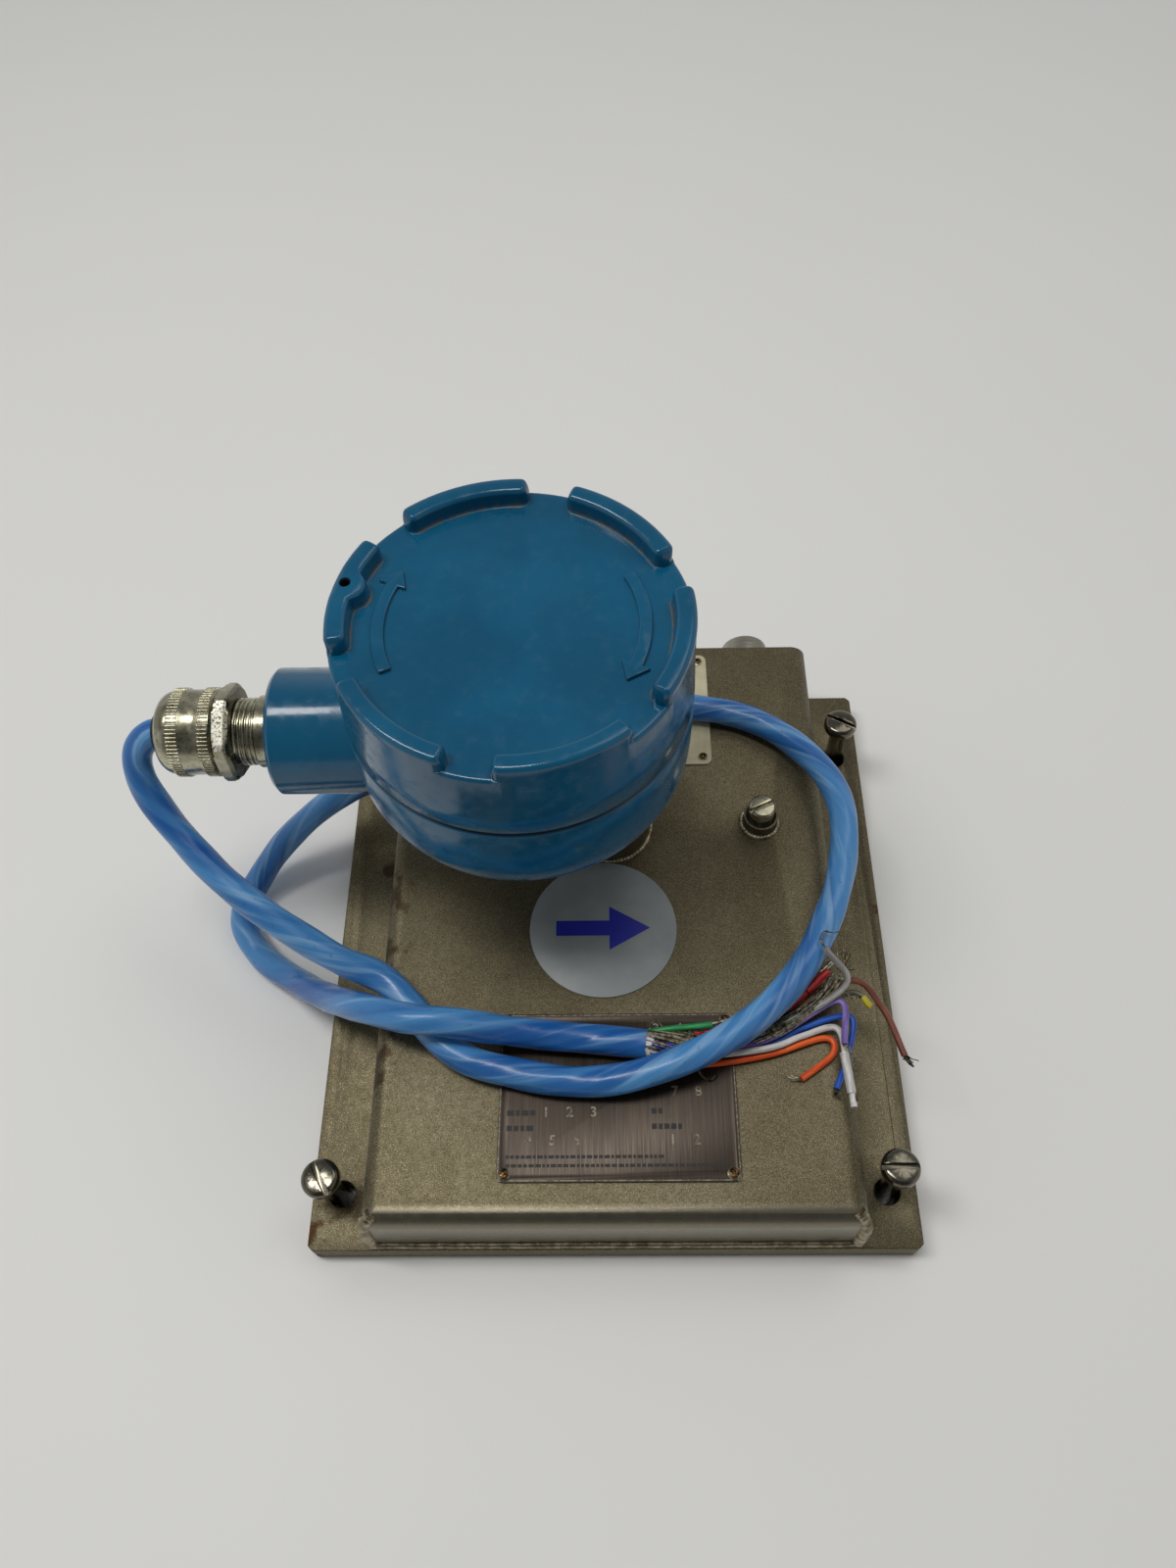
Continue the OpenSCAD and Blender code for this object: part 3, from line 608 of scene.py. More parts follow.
def softened(node, name, material, width):
    """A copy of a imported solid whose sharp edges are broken, which stands for it."""
    edit = bmesh.new()
    edit.from_mesh(NODES[node].data)
    bmesh.ops.remove_doubles(edit, verts=edit.verts, dist=2e-6)
    flat = math.radians(0.4)
    bmesh.ops.dissolve_limit(edit, angle_limit=flat, verts=edit.verts, edges=edit.edges)
    mesh = bpy.data.meshes.new(name)
    edit.to_mesh(mesh)
    edit.free()
    finished(name, bevelled(name, mesh, width, 2, 35.0), BODY_OF[node], material, [node])


def revolved(profile, columns, place, swell=None):
    """Points and faces of a closed profile turned about Z, then put in place.

    The profile holds (radius, height) in millimetres. swell(i, angle) may add to a radius.
    """
    points, faces = [], []
    n = len(profile)
    for k in range(columns):
        angle = TAU * k / columns
        for i, (r, z) in enumerate(profile):
            if swell:
                r += swell(i, angle)
            r, z = r * MM, z * MM
            points.append(place @ Vector((r * math.cos(angle), r * math.sin(angle), z)))
    for k in range(columns):
        a, b = k * n, (k + 1) % columns * n
        for i in range(n):
            j = (i + 1) % n
            faces.append((a + i, b + i, b + j, a + j))
    return points, faces


def arc(cx, cz, r, start, end, steps=6):
    """Points of a round edge, in degrees."""
    turns = [math.radians(start + (end - start) * i / steps) for i in range(steps + 1)]
    return [(cx + r * math.cos(t), cz + r * math.sin(t)) for t in turns]


def round_box(radius, degrees, height):
    """Place round the box's axis, from millimetres and degrees."""
    turn = math.radians(degrees)
    return BOX_AXIS + Vector((radius * math.cos(turn), radius * math.sin(turn), height)) * MM


def along_gland(x=0.0):
    """Turns Z out along -X on the gland's axis, and moves x metres that way."""
    out = Matrix.Rotation(-math.pi / 2, 4, "Y")
    return Matrix.Translation(GLAND_AXIS) @ out @ Matrix.Translation((0, 0, x))


# ---------- what repeats or follows a path ----------

class Growth(NodeMaker):
    """A Geometry Nodes tree that makes what repeats or follows a path."""

    prefix = "GeometryNode"

    def __init__(self, name, **inputs):
        super().__init__(bpy.data.node_groups.new(name, "GeometryNodeTree"))
        face = self.tree.interface
        face.new_socket("Geometry", in_out="INPUT", socket_type="NodeSocketGeometry")
        face.new_socket("Material", in_out="INPUT", socket_type="NodeSocketMaterial")
        for label, value in inputs.items():
            kind = "NodeSocketInt" if isinstance(value, int) else "NodeSocketFloat"
            socket = face.new_socket(label.replace("_", " "), in_out="INPUT", socket_type=kind)
            socket.default_value = value
        face.new_socket("Geometry", in_out="OUTPUT", socket_type="NodeSocketGeometry")
        self.given = self.node("NodeGroupInput").outputs
        self.end = self.node("NodeGroupOutput")

    def scaled(self, vector, amount):
        inputs = {0: vector, "Scale": amount}
        return self.node("ShaderNodeVectorMath", inputs, operation="SCALE").outputs[0]

    def circle(self, sides, radius):
        inputs = {"Resolution": sides, "Radius": radius}
        return self.node("CurvePrimitiveCircle", inputs).outputs[0]

    def swept(self, path, section):
        """A closed bar along a path."""
        inputs = {"Curve": path, "Profile Curve": section, "Fill Caps": True}
        return self.node("CurveToMesh", inputs).outputs[0]

    def close(self, geometry):
        real = self.node("RealizeInstances", {0: geometry}).outputs[0]
        inputs = {"Geometry": real, "Material": self.given["Material"]}
        self.feed(self.end.inputs[0], self.node("SetMaterial", inputs).outputs[0])
        return self

    def grow(self, name, body, material, source=None, place=None, **values):
        """Runs the tree on a seed and keeps what grew as a plain mesh."""
        holder = linked(name + "_seed", source or bpy.data.meshes.new(name + "_seed"))
        modifier = holder.modifiers.new("grow", "NODES")
        modifier.node_group = self.tree
        values["Material"] = MATERIALS[material]
        for item in self.tree.interface.items_tree:
            label = item.name.replace(" ", "_")
            if item.in_out == "INPUT" and label in values:
                modifier[item.identifier] = values[label]
        mesh = baked(holder)
        mesh.name = name
        if place:
            mesh.transform(place)
        return finished(name, mesh, body, material, sharp=60)


def rib_growth():
    """Ring of fine ribs that run along Z."""
    g = Growth("ribs", Count=60, Radius=0.0129, Rib_Length=0.0036, Rib_Width=0.0008)
    ring = g.circle(g.given["Count"], g.given["Radius"])
    spots = g.node("CurveToPoints", {"Curve": ring}, mode="EVALUATED")
    half = g.calc("MULTIPLY", g.given["Rib Width"], 0.5)
    rib = g.node("MeshCylinder", {"Vertices": 8, "Radius": half, "Depth": g.given["Rib Length"]})
    placed = g.node("InstanceOnPoints", {"Points": spots.outputs[0], "Instance": rib.outputs["Mesh"]})
    return g.close(placed.outputs[0])


def thread_growth():
    """Helical thread ridge round Z."""
    g = Growth("thread", Turns=4.0, Radius=0.0095, Length=0.006, Ridge=0.0006)
    spiral = g.node("CurveSpiral", {
        "Resolution": 64, "Rotations": g.given["Turns"], "Start Radius": g.given["Radius"],
        "End Radius": g.given["Radius"], "Height": g.given["Length"]})
    return g.close(g.swept(spiral.outputs[0], g.circle(6, g.given["Ridge"])))


def weld_growth():
    """Hand-laid weld bead along a path, with overlapping ripples and uneven width."""
    g = Growth("weld", Radius=0.001, Ripple_Length=0.0012, Ripple_Depth=0.0001, Unevenness=0.0005)
    fine = g.node("ResampleCurve", {"Curve": g.given["Geometry"], "Length": 0.0003}, mode="LENGTH")
    capture = g.node("CaptureAttribute")
    capture.capture_items.new("FLOAT", "Along")
    g.feed(capture.inputs[0], fine.outputs[0])
    g.feed(capture.inputs["Along"], g.node("SplineParameter").outputs["Length"])
    bead = g.swept(capture.outputs[0], g.circle(12, g.given["Radius"]))
    turn = g.calc("MULTIPLY", g.calc("DIVIDE", capture.outputs["Along"], g.given["Ripple Length"]), TAU)
    ripple = g.calc("MULTIPLY", g.calc("SINE", turn), g.given["Ripple Depth"])
    lump = g.node("ShaderNodeTexNoise", {"Scale": 420.0, "Detail": 3.0}).outputs[0]
    uneven = g.calc("MULTIPLY", g.calc("SUBTRACT", lump, 0.5), g.given["Unevenness"])
    offset = g.scaled(g.node("InputNormal").outputs[0], g.calc("ADD", ripple, uneven))
    return g.close(g.node("SetPosition", {"Geometry": bead, "Offset": offset}).outputs[0])


def strand_growth():
    """Fine round strands along paths, each wavering a little."""
    g = Growth("strands", Thickness=0.00012, Waver=0.0006)
    fine = g.node("ResampleCurve", {"Curve": g.given["Geometry"], "Count": 14}, mode="COUNT")
    bend = g.node("ShaderNodeTexNoise", {"Scale": 300.0, "Detail": 1.0}).outputs[1]
    inputs = {0: bend, 1: (0.5, 0.5, 0.5)}
    centred = g.node("ShaderNodeVectorMath", inputs, operation="SUBTRACT").outputs[0]
    share = g.calc("MULTIPLY", g.node("SplineParameter").outputs["Factor"], g.given["Waver"])
    inputs = {"Geometry": fine.outputs[0], "Offset": g.scaled(centred, share)}
    bent = g.node("SetPosition", inputs).outputs[0]
    return g.close(g.swept(bent, g.circle(5, g.given["Thickness"])))


def path_of(name, *runs, closed=False):
    """Straight-sided curves through points given in millimetres, as the seed of a growth."""
    curve = bpy.data.curves.new(name, "CURVE")
    curve.dimensions = "3D"
    for points in runs:
        spline = curve.splines.new("POLY")
        spline.points.add(len(points) - 1)
        for slot, (x, y, z) in zip(spline.points, points):
            slot.co = (x * MM, y * MM, z * MM, 1)
        spline.use_cyclic_u = closed
    return curve


# ---------- cords ----------

def smoothed(route, steps):
    """A smooth line through points given in millimetres."""
    p = [Vector(q) * MM for q in route]
    p = [2 * p[0] - p[1], *p, 2 * p[-1] - p[-2]]
    line = []
    for a, b, c, d in zip(p, p[1:], p[2:], p[3:]):
        bend = 2 * a - 5 * b + 4 * c - d
        swing = 3 * b - a - 3 * c + d
        for k in range(steps):
            t = k / steps
            line.append(0.5 * (2 * b + (c - a) * t + bend * t * t + swing * t ** 3))
    return line + [p[-2]]


def tube(name, line, radius, sides, shape=None, mouth=0.0, twist=0.0):
    """Mesh tube along a line, with its length and its turn as UV.

    shape(run, angle) scales the radius, and mouth is the depth of an open far end.
    """
    points, rings = [], []
    side, run = None, 0.0
    for i, p in enumerate(line):
        ahead = (line[min(i + 1, len(line) - 1)] - line[max(i - 1, 0)]).normalized()
        if side is None:
            side = ahead.cross(Vector((0, 0, 1)))
        side = (side - side.dot(ahead) * ahead).normalized()
        up = ahead.cross(side)
        run += (p - line[i - 1]).length if i else 0.0
        rings.append((range(len(points), len(points) + sides), run))
        for k in range(sides):
            angle = TAU * k / sides
            r = radius * (shape(run, angle) if shape else 1.0)
            points.append(p + r * (math.cos(angle) * side + math.sin(angle) * up))
    if mouth:
        end, back = line[-1], (line[-2] - line[-1]).normalized()
        lip = [end + (points[v] - end) * LIP_SHARE for v in rings[-1][0]]
        for edge in (lip, [q + back * mouth for q in lip]):
            rings.append((range(len(points), len(points) + sides), run + MM))
            points.extend(edge)
    faces, uvs = [], []
    for (a, s), (b, e) in zip(rings, rings[1:]):
        for k in range(sides):
            j = (k + 1) % sides
            faces.append((a[k], a[j], b[j], b[k]))
            uvs += [(s, k / sides + twist * s), (s, (k + 1) / sides + twist * s)]
            uvs += [(e, (k + 1) / sides + twist * e), (e, k / sides + twist * e)]
    faces += [tuple(reversed(rings[0][0])), tuple(rings[-1][0])]
    uvs += [(0, 0)] * sides + [(run, 0)] * sides
    mesh = raw_mesh(name, points, faces)
    layer = mesh.uv_layers.new(name="UVMap")
    for corner, uv in zip(layer.data, uvs):
        corner.uv = uv
    mesh.validate()
    return mesh


# Middle line of the cable from inside the gland to its cut end, in millimetres
CABLE_ROUTE = [
    (-119, 30.5, 94), (-130, 30.5, 94), (-136, 30.2, 93), (-140.5, 27.8, 89),
    (-141.8, 24.5, 83), (-139.5, 19.5, 76.5), (-131, 10, 68.5), (-119, -1, 61.5),
    (-103, -12, 54.5), (-84, -21.8, 47), (-68, -28.4, 42.4), (-48, -48.8, 40.4),
    (-28, -56, 40.4), (-4, -58.8, 41), (19, -54.5, 45.6), (40, -43.5, 46),
    (56, -28, 45), (67.5, -8.5, 44.6), (74.5, 12.5, 45), (75.5, 34, 45),
    (67, 54, 42), (50, 69, 40.4), (26, 75, 40.4), (0, 73, 40.4),
    (-27, 67, 40.4), (-52, 58.5, 40.4), (-75, 50, 39.6), (-95, 43.5, 32.5),
    (-112, 36.5, 19.5), (-124, 26, 8.5), (-129, 12, 4.8), (-121, -2, 4.8),
    (-107, -13, 9), (-92, -25, 24), (-77, -35.5, 42), (-62, -42, 50.3),
    (-46, -44, 50), (-27, -44.2, 42.5), (-9, -45.3, 40.4), (10, -47.3, 40.4),
]
# Diameters in millimetres
CABLE_D = 9.0
WIRE_D = 2.0
STRANDS_D = 1.6
# Length in which the twisted pairs go round once, and turns in a metre of the jacket's streaks of painted
# highlight and shade
PAIR_LAY = 85.0
STREAK_TURNS = 11.8
# Radius of the ring on which the wires leave the jacket
WIRE_RING = 3.3
# Share of the jacket's radius that its cut mouth is open
LIP_SHARE = 0.84
# Place of each wire round the cut end, in degrees, and its way from there
WIRE_ROUTES = {
    "wire_orange": (180, [
        (25, -52.7, 37.2), (46, -49.8, 36.8), (64, -44.5, 36.4), (66, -49.5, 36.4), (56, -57, 36.4)]),
    "wire_white": (140, [
        (25, -50.8, 39.5), (46, -48.6, 39.3), (57, -44.4, 38), (67.5, -42, 38.2), (69.4, -52, 39),
        (70.2, -66, 38.2)]),
    "wire_violet": (100, [(25, -48.5, 39.5), (46, -46, 39.5), (68.5, -34.5, 41.2), (69, -48, 41.2)]),
    "wire_gray": (60, [(25, -46, 39.5), (46, -43.5, 39.6), (70.5, -31, 44.4), (64.5, -21, 50.2)]),
    "wire_blue": (220, [
        (25, -49.5, 37.2), (46, -47.2, 37.1), (57, -41.8, 37.1), (72.5, -38, 37), (70, -51, 35.8),
        (66, -60, 36.2)]),
    "wire_yellow": (260, [(25, -47.2, 37.2), (46, -44.6, 37.1), (72, -31, 38.2), (79, -35, 37.6)]),
    "wire_brown": (300, [
        (25, -44.8, 37.2), (46, -42.1, 37.1), (72, -28, 41), (82, -36, 39), (87.5, -50, 36)]),
    "wire_red": (340, [(25, -43.5, 39.5), (46, -41.1, 39.5), (67, -24, 38.5)]),
    "wire_green": (20, [(18, -43.2, 42), (30, -42, 41.8)]),
}
STRANDS_ROUTE = [(29.5, -42, 41.8), (37, -39.6, 39.6), (47, -38.7, 37.6), (70, -19, 37)]


def cable_shape(run, angle):
    """Lumps of the jacket over its twisted pairs."""
    lay = -TAU * run / (PAIR_LAY * MM)
    pairs = 0.024 * math.cos(4 * (angle - lay)) + 0.012 * math.cos(2 * angle - 3 * lay)
    drift = noise.noise(Vector((run * 55, math.cos(angle), math.sin(angle))))
    dent = noise.noise(Vector((run * 130, 2 * math.cos(angle), 2 * math.sin(angle))))
    return 1.0 + pairs + 0.035 * drift + 0.02 * dent


def core_shape(run, angle):
    """The shield's core widens on its way, is wider than it is tall, and shows its lay."""
    return 1.0 + 6 * run + 0.18 * math.cos(2 * angle) + 0.05 * math.cos(9 * (angle - 160 * run))


def strands_shape(run, angle):
    """Seven strands that lie round one another."""
    return 1.0 + 0.16 * math.cos(7 * (angle - TAU * run / 0.014))


# Runs of fine strands: number, how far they start and end apart, thickness, metal, guide points
FRAYS = {
    "shield_strands": (30, 1.4, 1.5, 0.25, "strand_metal", [
        (44, -45.5, 41), (52, -42, 41), (57, -38.5, 41.5), (63, -34, 42), (68, -28.5, 42),
        (71, -24.5, 41.5)]),
    "shield_shadow": (16, 1.3, 1.2, 0.28, "burnt_strand", [
        (46, -44, 39.5), (53, -40.5, 39.5), (60, -35, 39.5), (67, -27.5, 40)]),
    "strand_tangle": (34, 0.6, 1.5, 0.17, "burnt_strand", [
        (70.5, -24.5, 41.5), (71.5, -22.5, 42), (72.5, -20.5, 42)]),
    "gray_fray": (4, 0.25, 0.35, 0.16, "burnt_strand", [
        (64.5, -21.2, 50.2), (63.4, -18.6, 51), (65, -16.2, 51.2), (68, -16.4, 51.5), (70.6, -15.6, 51)]),
    "brown_fray": (26, 0.5, 0.75, 0.15, "burnt_strand", [
        (87.2, -49.6, 36), (88.3, -51.6, 36.3), (89.7, -53.3, 36.8)]),
    "white_fray": (24, 0.6, 0.6, 0.15, "burnt_strand", [
        (69.8, -61.4, 38.5), (70, -63, 38.6), (70.4, -65.3, 38.6)]),
    "blue_fray": (12, 0.4, 0.5, 0.14, "burnt_strand", [
        (66.1, -59.5, 36.3), (65.8, -61, 36.3), (66.8, -62.4, 36.4)]),
    "violet_fray": (6, 0.4, 1.1, 0.11, "strand_metal", [
        (69, -47.6, 41), (70.5, -49.5, 39.5), (72, -52, 37.5), (73.5, -54, 36.5)]),
    "orange_fray": (7, 0.4, 0.9, 0.1, "strand_metal", [
        (56.3, -56.8, 36.4), (54.5, -57, 36.6), (50, -55.6, 36.6)]),
    "pale_curl": (5, 0.12, 0.15, 0.2, "strand_metal", [
        (71.6, -31.6, 39.5), (73, -33, 39.8), (75.2, -32, 39.5)]),
    "front_curls": (3, 0.5, 0.7, 0.16, "burnt_strand", [
        (24, -52.5, 38), (27, -56.5, 36.6), (30, -57.4, 36.4), (32.5, -55, 36.6)]),
    "plate_curls": (2, 0.4, 0.6, 0.13, "strand_metal", [
        (10.5, -44, 43.5), (11.2, -41.5, 42.5), (14, -40.3, 41.5), (16.8, -42, 40.5)]),
}
# Short sleeves over the wires and one bare core: finish, radius, way
SLEEVES = {
    "white_sleeve": ("wire_white", 1.35, [(68.9, -50, 39.2), (69.4, -56, 39), (69.9, -62, 38.5)]),
    "red_sleeve": ("wire_red", 1.45, [(59.4, -30.6, 39.2), (63, -27.4, 39.1), (66.8, -24.2, 38.7)]),
    "navy_core": ("badge_ink", 0.8, [
        (9.6, -48.6, 42.6), (14, -48.9, 42.6), (20, -47.6, 41.6), (26, -46.5, 40.6)]),
}


def frayed(rng, count, start, end, guide):
    """Paths that run along a guide and part from it on the way, in millimetres."""
    line = [q / MM for q in smoothed(guide, 4)]
    runs = []
    for _ in range(count):
        near, far = (Vector([rng.gauss(0, spread) for _ in range(3)]) for spread in (start, end))
        last = max(3, round(len(line) * rng.uniform(0.6, 1.0)))
        first = rng.randrange(max(1, len(line) // 4))
        near.z, far.z = 0.5 * near.z, 0.5 * far.z
        run = [q + near.lerp(far, i / (len(line) - 1)) for i, q in enumerate(line[:last])]
        runs.append(run[first:])
    return runs


def wrapped_strands(rng):
    """Paths of the bare shield that winds round the wires where the jacket is cut."""
    count, steps = 34, 12
    x0, y0, z0 = CABLE_ROUTE[-1]
    runs = []
    for k in range(count):
        start = TAU * k / count + rng.uniform(-0.12, 0.12)
        reach = rng.uniform(0.6, 1.0)
        run = []
        for i in range(steps + 1):
            t = reach * i / steps
            turn = start + 1.1 * t
            wide = 4.0 + 1.3 * t + rng.uniform(-0.15, 0.15)
            tall = 3.8 - 1.2 * t
            x, y, z = x0 - 0.6 + 20 * t, y0 + 0.4 * t, z0 - 1.7 * t
            run.append((x, y + wide * math.cos(turn), z + tall * math.sin(turn)))
        runs.append(run)
    return runs


def torn_filler(rng):
    """Ragged white tape that stands out of the cut jacket."""
    flaps, rows, thick, root_r, rooted = 13, 4, 0.3, 3.95, 1.2
    per_skin = 3 * rows
    points, faces = [], []
    end, before = (Vector(q) for q in (CABLE_ROUTE[-1], CABLE_ROUTE[-2]))
    place = (end - before).to_track_quat("Z", "Y").to_matrix()
    for k in range(flaps):
        middle = TAU * k / flaps + rng.uniform(-0.15, 0.15)
        half, length, curl = rng.uniform(0.2, 0.36), rng.uniform(1.8, 4.2), rng.uniform(-1.0, 1.4)
        for inset in (0.0, thick):
            for i in range(rows):
                along = i / (rows - 1)
                r = root_r - inset + curl * along * along
                for side in (-1, 0, 1):
                    angle = middle + side * half * (1 - 0.55 * along)
                    q = Vector((r * math.cos(angle), r * math.sin(angle), length * along - rooted))
                    points.append((end + place @ q) * MM)
        a = 2 * per_skin * k
        for i in range(rows - 1):
            for q in (a + 3 * i, a + 3 * i + 1):
                u = q + per_skin
                faces += [(q, q + 1, q + 4, q + 3), (u + 3, u + 4, u + 1, u)]
        ring = [a + i for i in (0, 1, 2, 5, 8, 11, 10, 9, 6, 3)]
        faces += [(q, q + per_skin, r + per_skin, r) for q, r in zip(ring, ring[1:] + ring[:1])]
    return solid("torn_filler", (points, faces), "case", "filler_white", sharp=60)


def shield_core():
    """Dark core under the strands at the cut end, which hides the wires there; its darkness between the
    strands is painted shade.
    """
    line = smoothed([(9.2, -47.3, 40.4), (16, -47.1, 39.9), (24, -47, 39.1)], 6)
    mesh = tube("shield_core", line, 3.5 * MM, 36, core_shape)
    return finished("shield_core", mesh, "case", "burnt_strand", sharp=60)


def make_frays():
    """Everything loose at the wires' ends: strands, sleeves and torn filler."""
    strands = strand_growth()
    rng = random.Random(9)
    made = [torn_filler(rng)]
    wrap = path_of("shield_wrap", *wrapped_strands(rng))
    sizes = {"Thickness": 0.3 * MM, "Waver": 0.5 * MM}
    made.append(strands.grow("shield_wrap", "case", "strand_metal", wrap, **sizes))
    made.append(shield_core())
    for name, (count, start, end, thick, metal, guide) in FRAYS.items():
        paths = path_of(name, *frayed(rng, count, start, end, guide))
        sizes = {"Thickness": thick * MM, "Waver": 1.6 * MM}
        made.append(strands.grow(name, "case", metal, paths, **sizes))
    for name, (cover, radius, route) in SLEEVES.items():
        mesh = tube(name, smoothed(route, 6), radius * MM, 16)
        made.append(finished(name, mesh, "case", cover, sharp=60))
    return made


def make_cords():
    """The cable, its wires and the bare strands."""
    line = smoothed(CABLE_ROUTE, 10)
    # The jacket's lumps reach 7% further than its radius, so it rests that much higher
    for p in line:
        p.z = max(p.z, CABLE_D / 2 * MM * 1.07)
    mesh = tube("cable", line, CABLE_D / 2 * MM, 28, cable_shape, 1.5 * MM, STREAK_TURNS)
    jacket = finished("cable", mesh, "case", "jacket_blue", ["cable_jacket"], 60)
    end = Vector(CABLE_ROUTE[-1])
    on_cable = make_frays()
    for name, (turn, route) in WIRE_ROUTES.items():
        angle = math.radians(turn)
        start = end + Vector((-0.5, WIRE_RING * math.cos(angle), WIRE_RING * math.sin(angle)))
        wire_line = smoothed([start, *route], 9)
        mesh = tube(name, wire_line, WIRE_D / 2 * MM, 12)
        insulation = finished(name + "_cover", mesh, "case", name, [name], 60)
        if name == "wire_green":
            on_cable.append(insulation)
            continue
    strands_line = smoothed(STRANDS_ROUTE, 10)
    mesh = tube("strands", strands_line, STRANDS_D / 2 * MM, 28, strands_shape)
    strands = finished("strands", mesh, "case", "strand_metal", ["green_strands"], 60)


# ---------- junction box ----------

# Millimetres, save FIRST_LUG, LUG_END, SEAL_LUG and BOSS_HALF, which are degrees round the axis
COVER_TOP = 142.0
SEAM = 117.0
RIM_R = 48.15
RIM_EDGE = 1.2
LUG_H = 5.5
LUG_IN_R = 42.3
LUG_COUNT = 6
FIRST_LUG = 48.5
LUG_END = 23.1
LUG_NOSE = 1.9
LUG_CORNER = 2.7
SEAL_LUG = 166.2
SEAL_HOLE_AT = 45
BOSS_H = 3.0
BOSS_HALF = 5.6
SPIGOT_R = 42.45
THREAD_TURNS = 5
THREAD_PITCH = 2.117
THREAD_DEPTH = 0.8


def lug_reach(degrees):
    """Millimetres from a lug's end to this place along the rim, below nought between lugs."""
    off = min(abs((degrees - FIRST_LUG - i * 60 + 180) % 360 - 180) for i in range(LUG_COUNT))
    return math.radians(LUG_END - off) * (LUG_IN_R + RIM_R) / 2


def quarter(x, r):
    """Height of a quarter circle of radius r at x from its start."""
    return math.sqrt(max(0.0, r * r - (r - min(max(x, 0.0), r)) ** 2))


def lug_section():
    """Across a lug: share of its width from the inner foot, and share of its height."""
    foot = [(-0.13, 0.0), (-0.06, 0.01), (-0.02, 0.05), (0.0, 0.13)]
    wall = [(0.012, 0.28), (0.025, 0.5), (0.04, 0.7)]
    inner = arc(0.32, 0.71, 0.28, 174, 96, 6)
    outer = arc(0.72, 0.71, 0.28, 84, 0, 7)
    return foot + wall + inner + [(0.52, 1.0)] + outer + [(1.0, 0.45), (1.0, 0.2), (1.0, 0.0)]


def cover_skirt():
    """Outline from the rim down the wall, over the O-ring's groove and the thread, and up inside."""
    thread = []
    root = SPIGOT_R - THREAD_DEPTH
    for k in range(THREAD_TURNS):
        top = SEAM - 0.9 - k * THREAD_PITCH
        thread += [(SPIGOT_R, top), (root, top - 0.45 * THREAD_PITCH)]
        thread += [(root, top - 0.55 * THREAD_PITCH), (SPIGOT_R, top - 0.95 * THREAD_PITCH)]
    wall = [(48.3, 134.0), (48.6, 126.0), (48.95, 118.5), (48.7, 117.9), (47.3, 117.7), (47.3, SEAM)]
    groove = [(46.5, SEAM), (46.5, SEAM + 1.7), (44.3, SEAM + 1.7), (44.3, SEAM), (SPIGOT_R, SEAM)]
    return wall + groove + thread + [(SPIGOT_R, 104.0), (38.0, 104.0), (38.0, 135.5), (0.0, 135.5)]


def cover_columns():
    """Degrees at which the cover's skin has a column of points, close together at the lugs' ends."""
    columns = [k * 2.5 for k in range(144)]
    per_mm = math.degrees(2 / (LUG_IN_R + RIM_R))
    crowded, steps = 3.0, 14
    for i in range(LUG_COUNT):
        for side in (-1, 1):
            for k in range(steps + 1):
                inward = crowded * (1 - math.cos(math.pi / 2 * k / steps)) * per_mm
                columns.append((FIRST_LUG + i * 60 + side * (LUG_END - inward)) % 360)
    return sorted(set(round(c, 3) for c in columns))


def cover_column(degrees):
    """One column from the middle of the top to the middle below, and the grime on it."""
    reach = lug_reach(degrees)
    share = quarter(reach, LUG_NOSE) / LUG_NOSE
    pinch = LUG_CORNER - quarter(reach, LUG_CORNER)
    off_boss = (degrees - SEAL_LUG + 180) % 360 - 180
    bulge = BOSS_H * math.sqrt(max(0.0, 1 - (off_boss / BOSS_HALF) ** 2))
    inner = LUG_IN_R + pinch - bulge
    width = RIM_R - pinch - inner
    column = [(r, COVER_TOP) for r in (0.0, 20.0, 33.0, 38.0)]
    grime = [0.0] * len(column)
    for u, h in lug_section():
        column.append((inner + u * width, COVER_TOP + LUG_H * share * h))
        grime.append(share * math.exp(-((u + 0.05) / 0.045) ** 2))
    edge = min(RIM_EDGE, pinch)
    column += arc(RIM_R - edge, COVER_TOP - edge, edge, 90, 0, 5) + cover_skirt()
    return column, grime + [0.0] * (len(column) - len(grime))


def soiled(mesh, grime):
    """Writes the share of grime at each point of a mesh."""
    mesh.attributes.new("grime", "FLOAT", "POINT").data.foreach_set("value", grime)
    return mesh


def make_cover():
    """Screw cover as one casting skin whose round-ended lugs rise out of the rim."""
    columns = cover_columns()
    points, faces, grime = [], [], []
    for degrees in columns:
        column, dusty = cover_column(degrees)
        points.extend(round_box(r, degrees, z) for r, z in column)
        grime.extend(dusty)
    n = len(column)
    for k in range(len(columns)):
        a, b = k * n, (k + 1) % len(columns) * n
        faces.extend((a + i, b + i, b + i + 1, a + i + 1) for i in range(n - 1))
    mesh = merged(soiled(raw_mesh("junction_cover", points, faces), grime), 2e-6)
    drill_seal_hole(finished("junction_cover", mesh, "cover", "blue_enamel", ["jbox_cover"], 40))


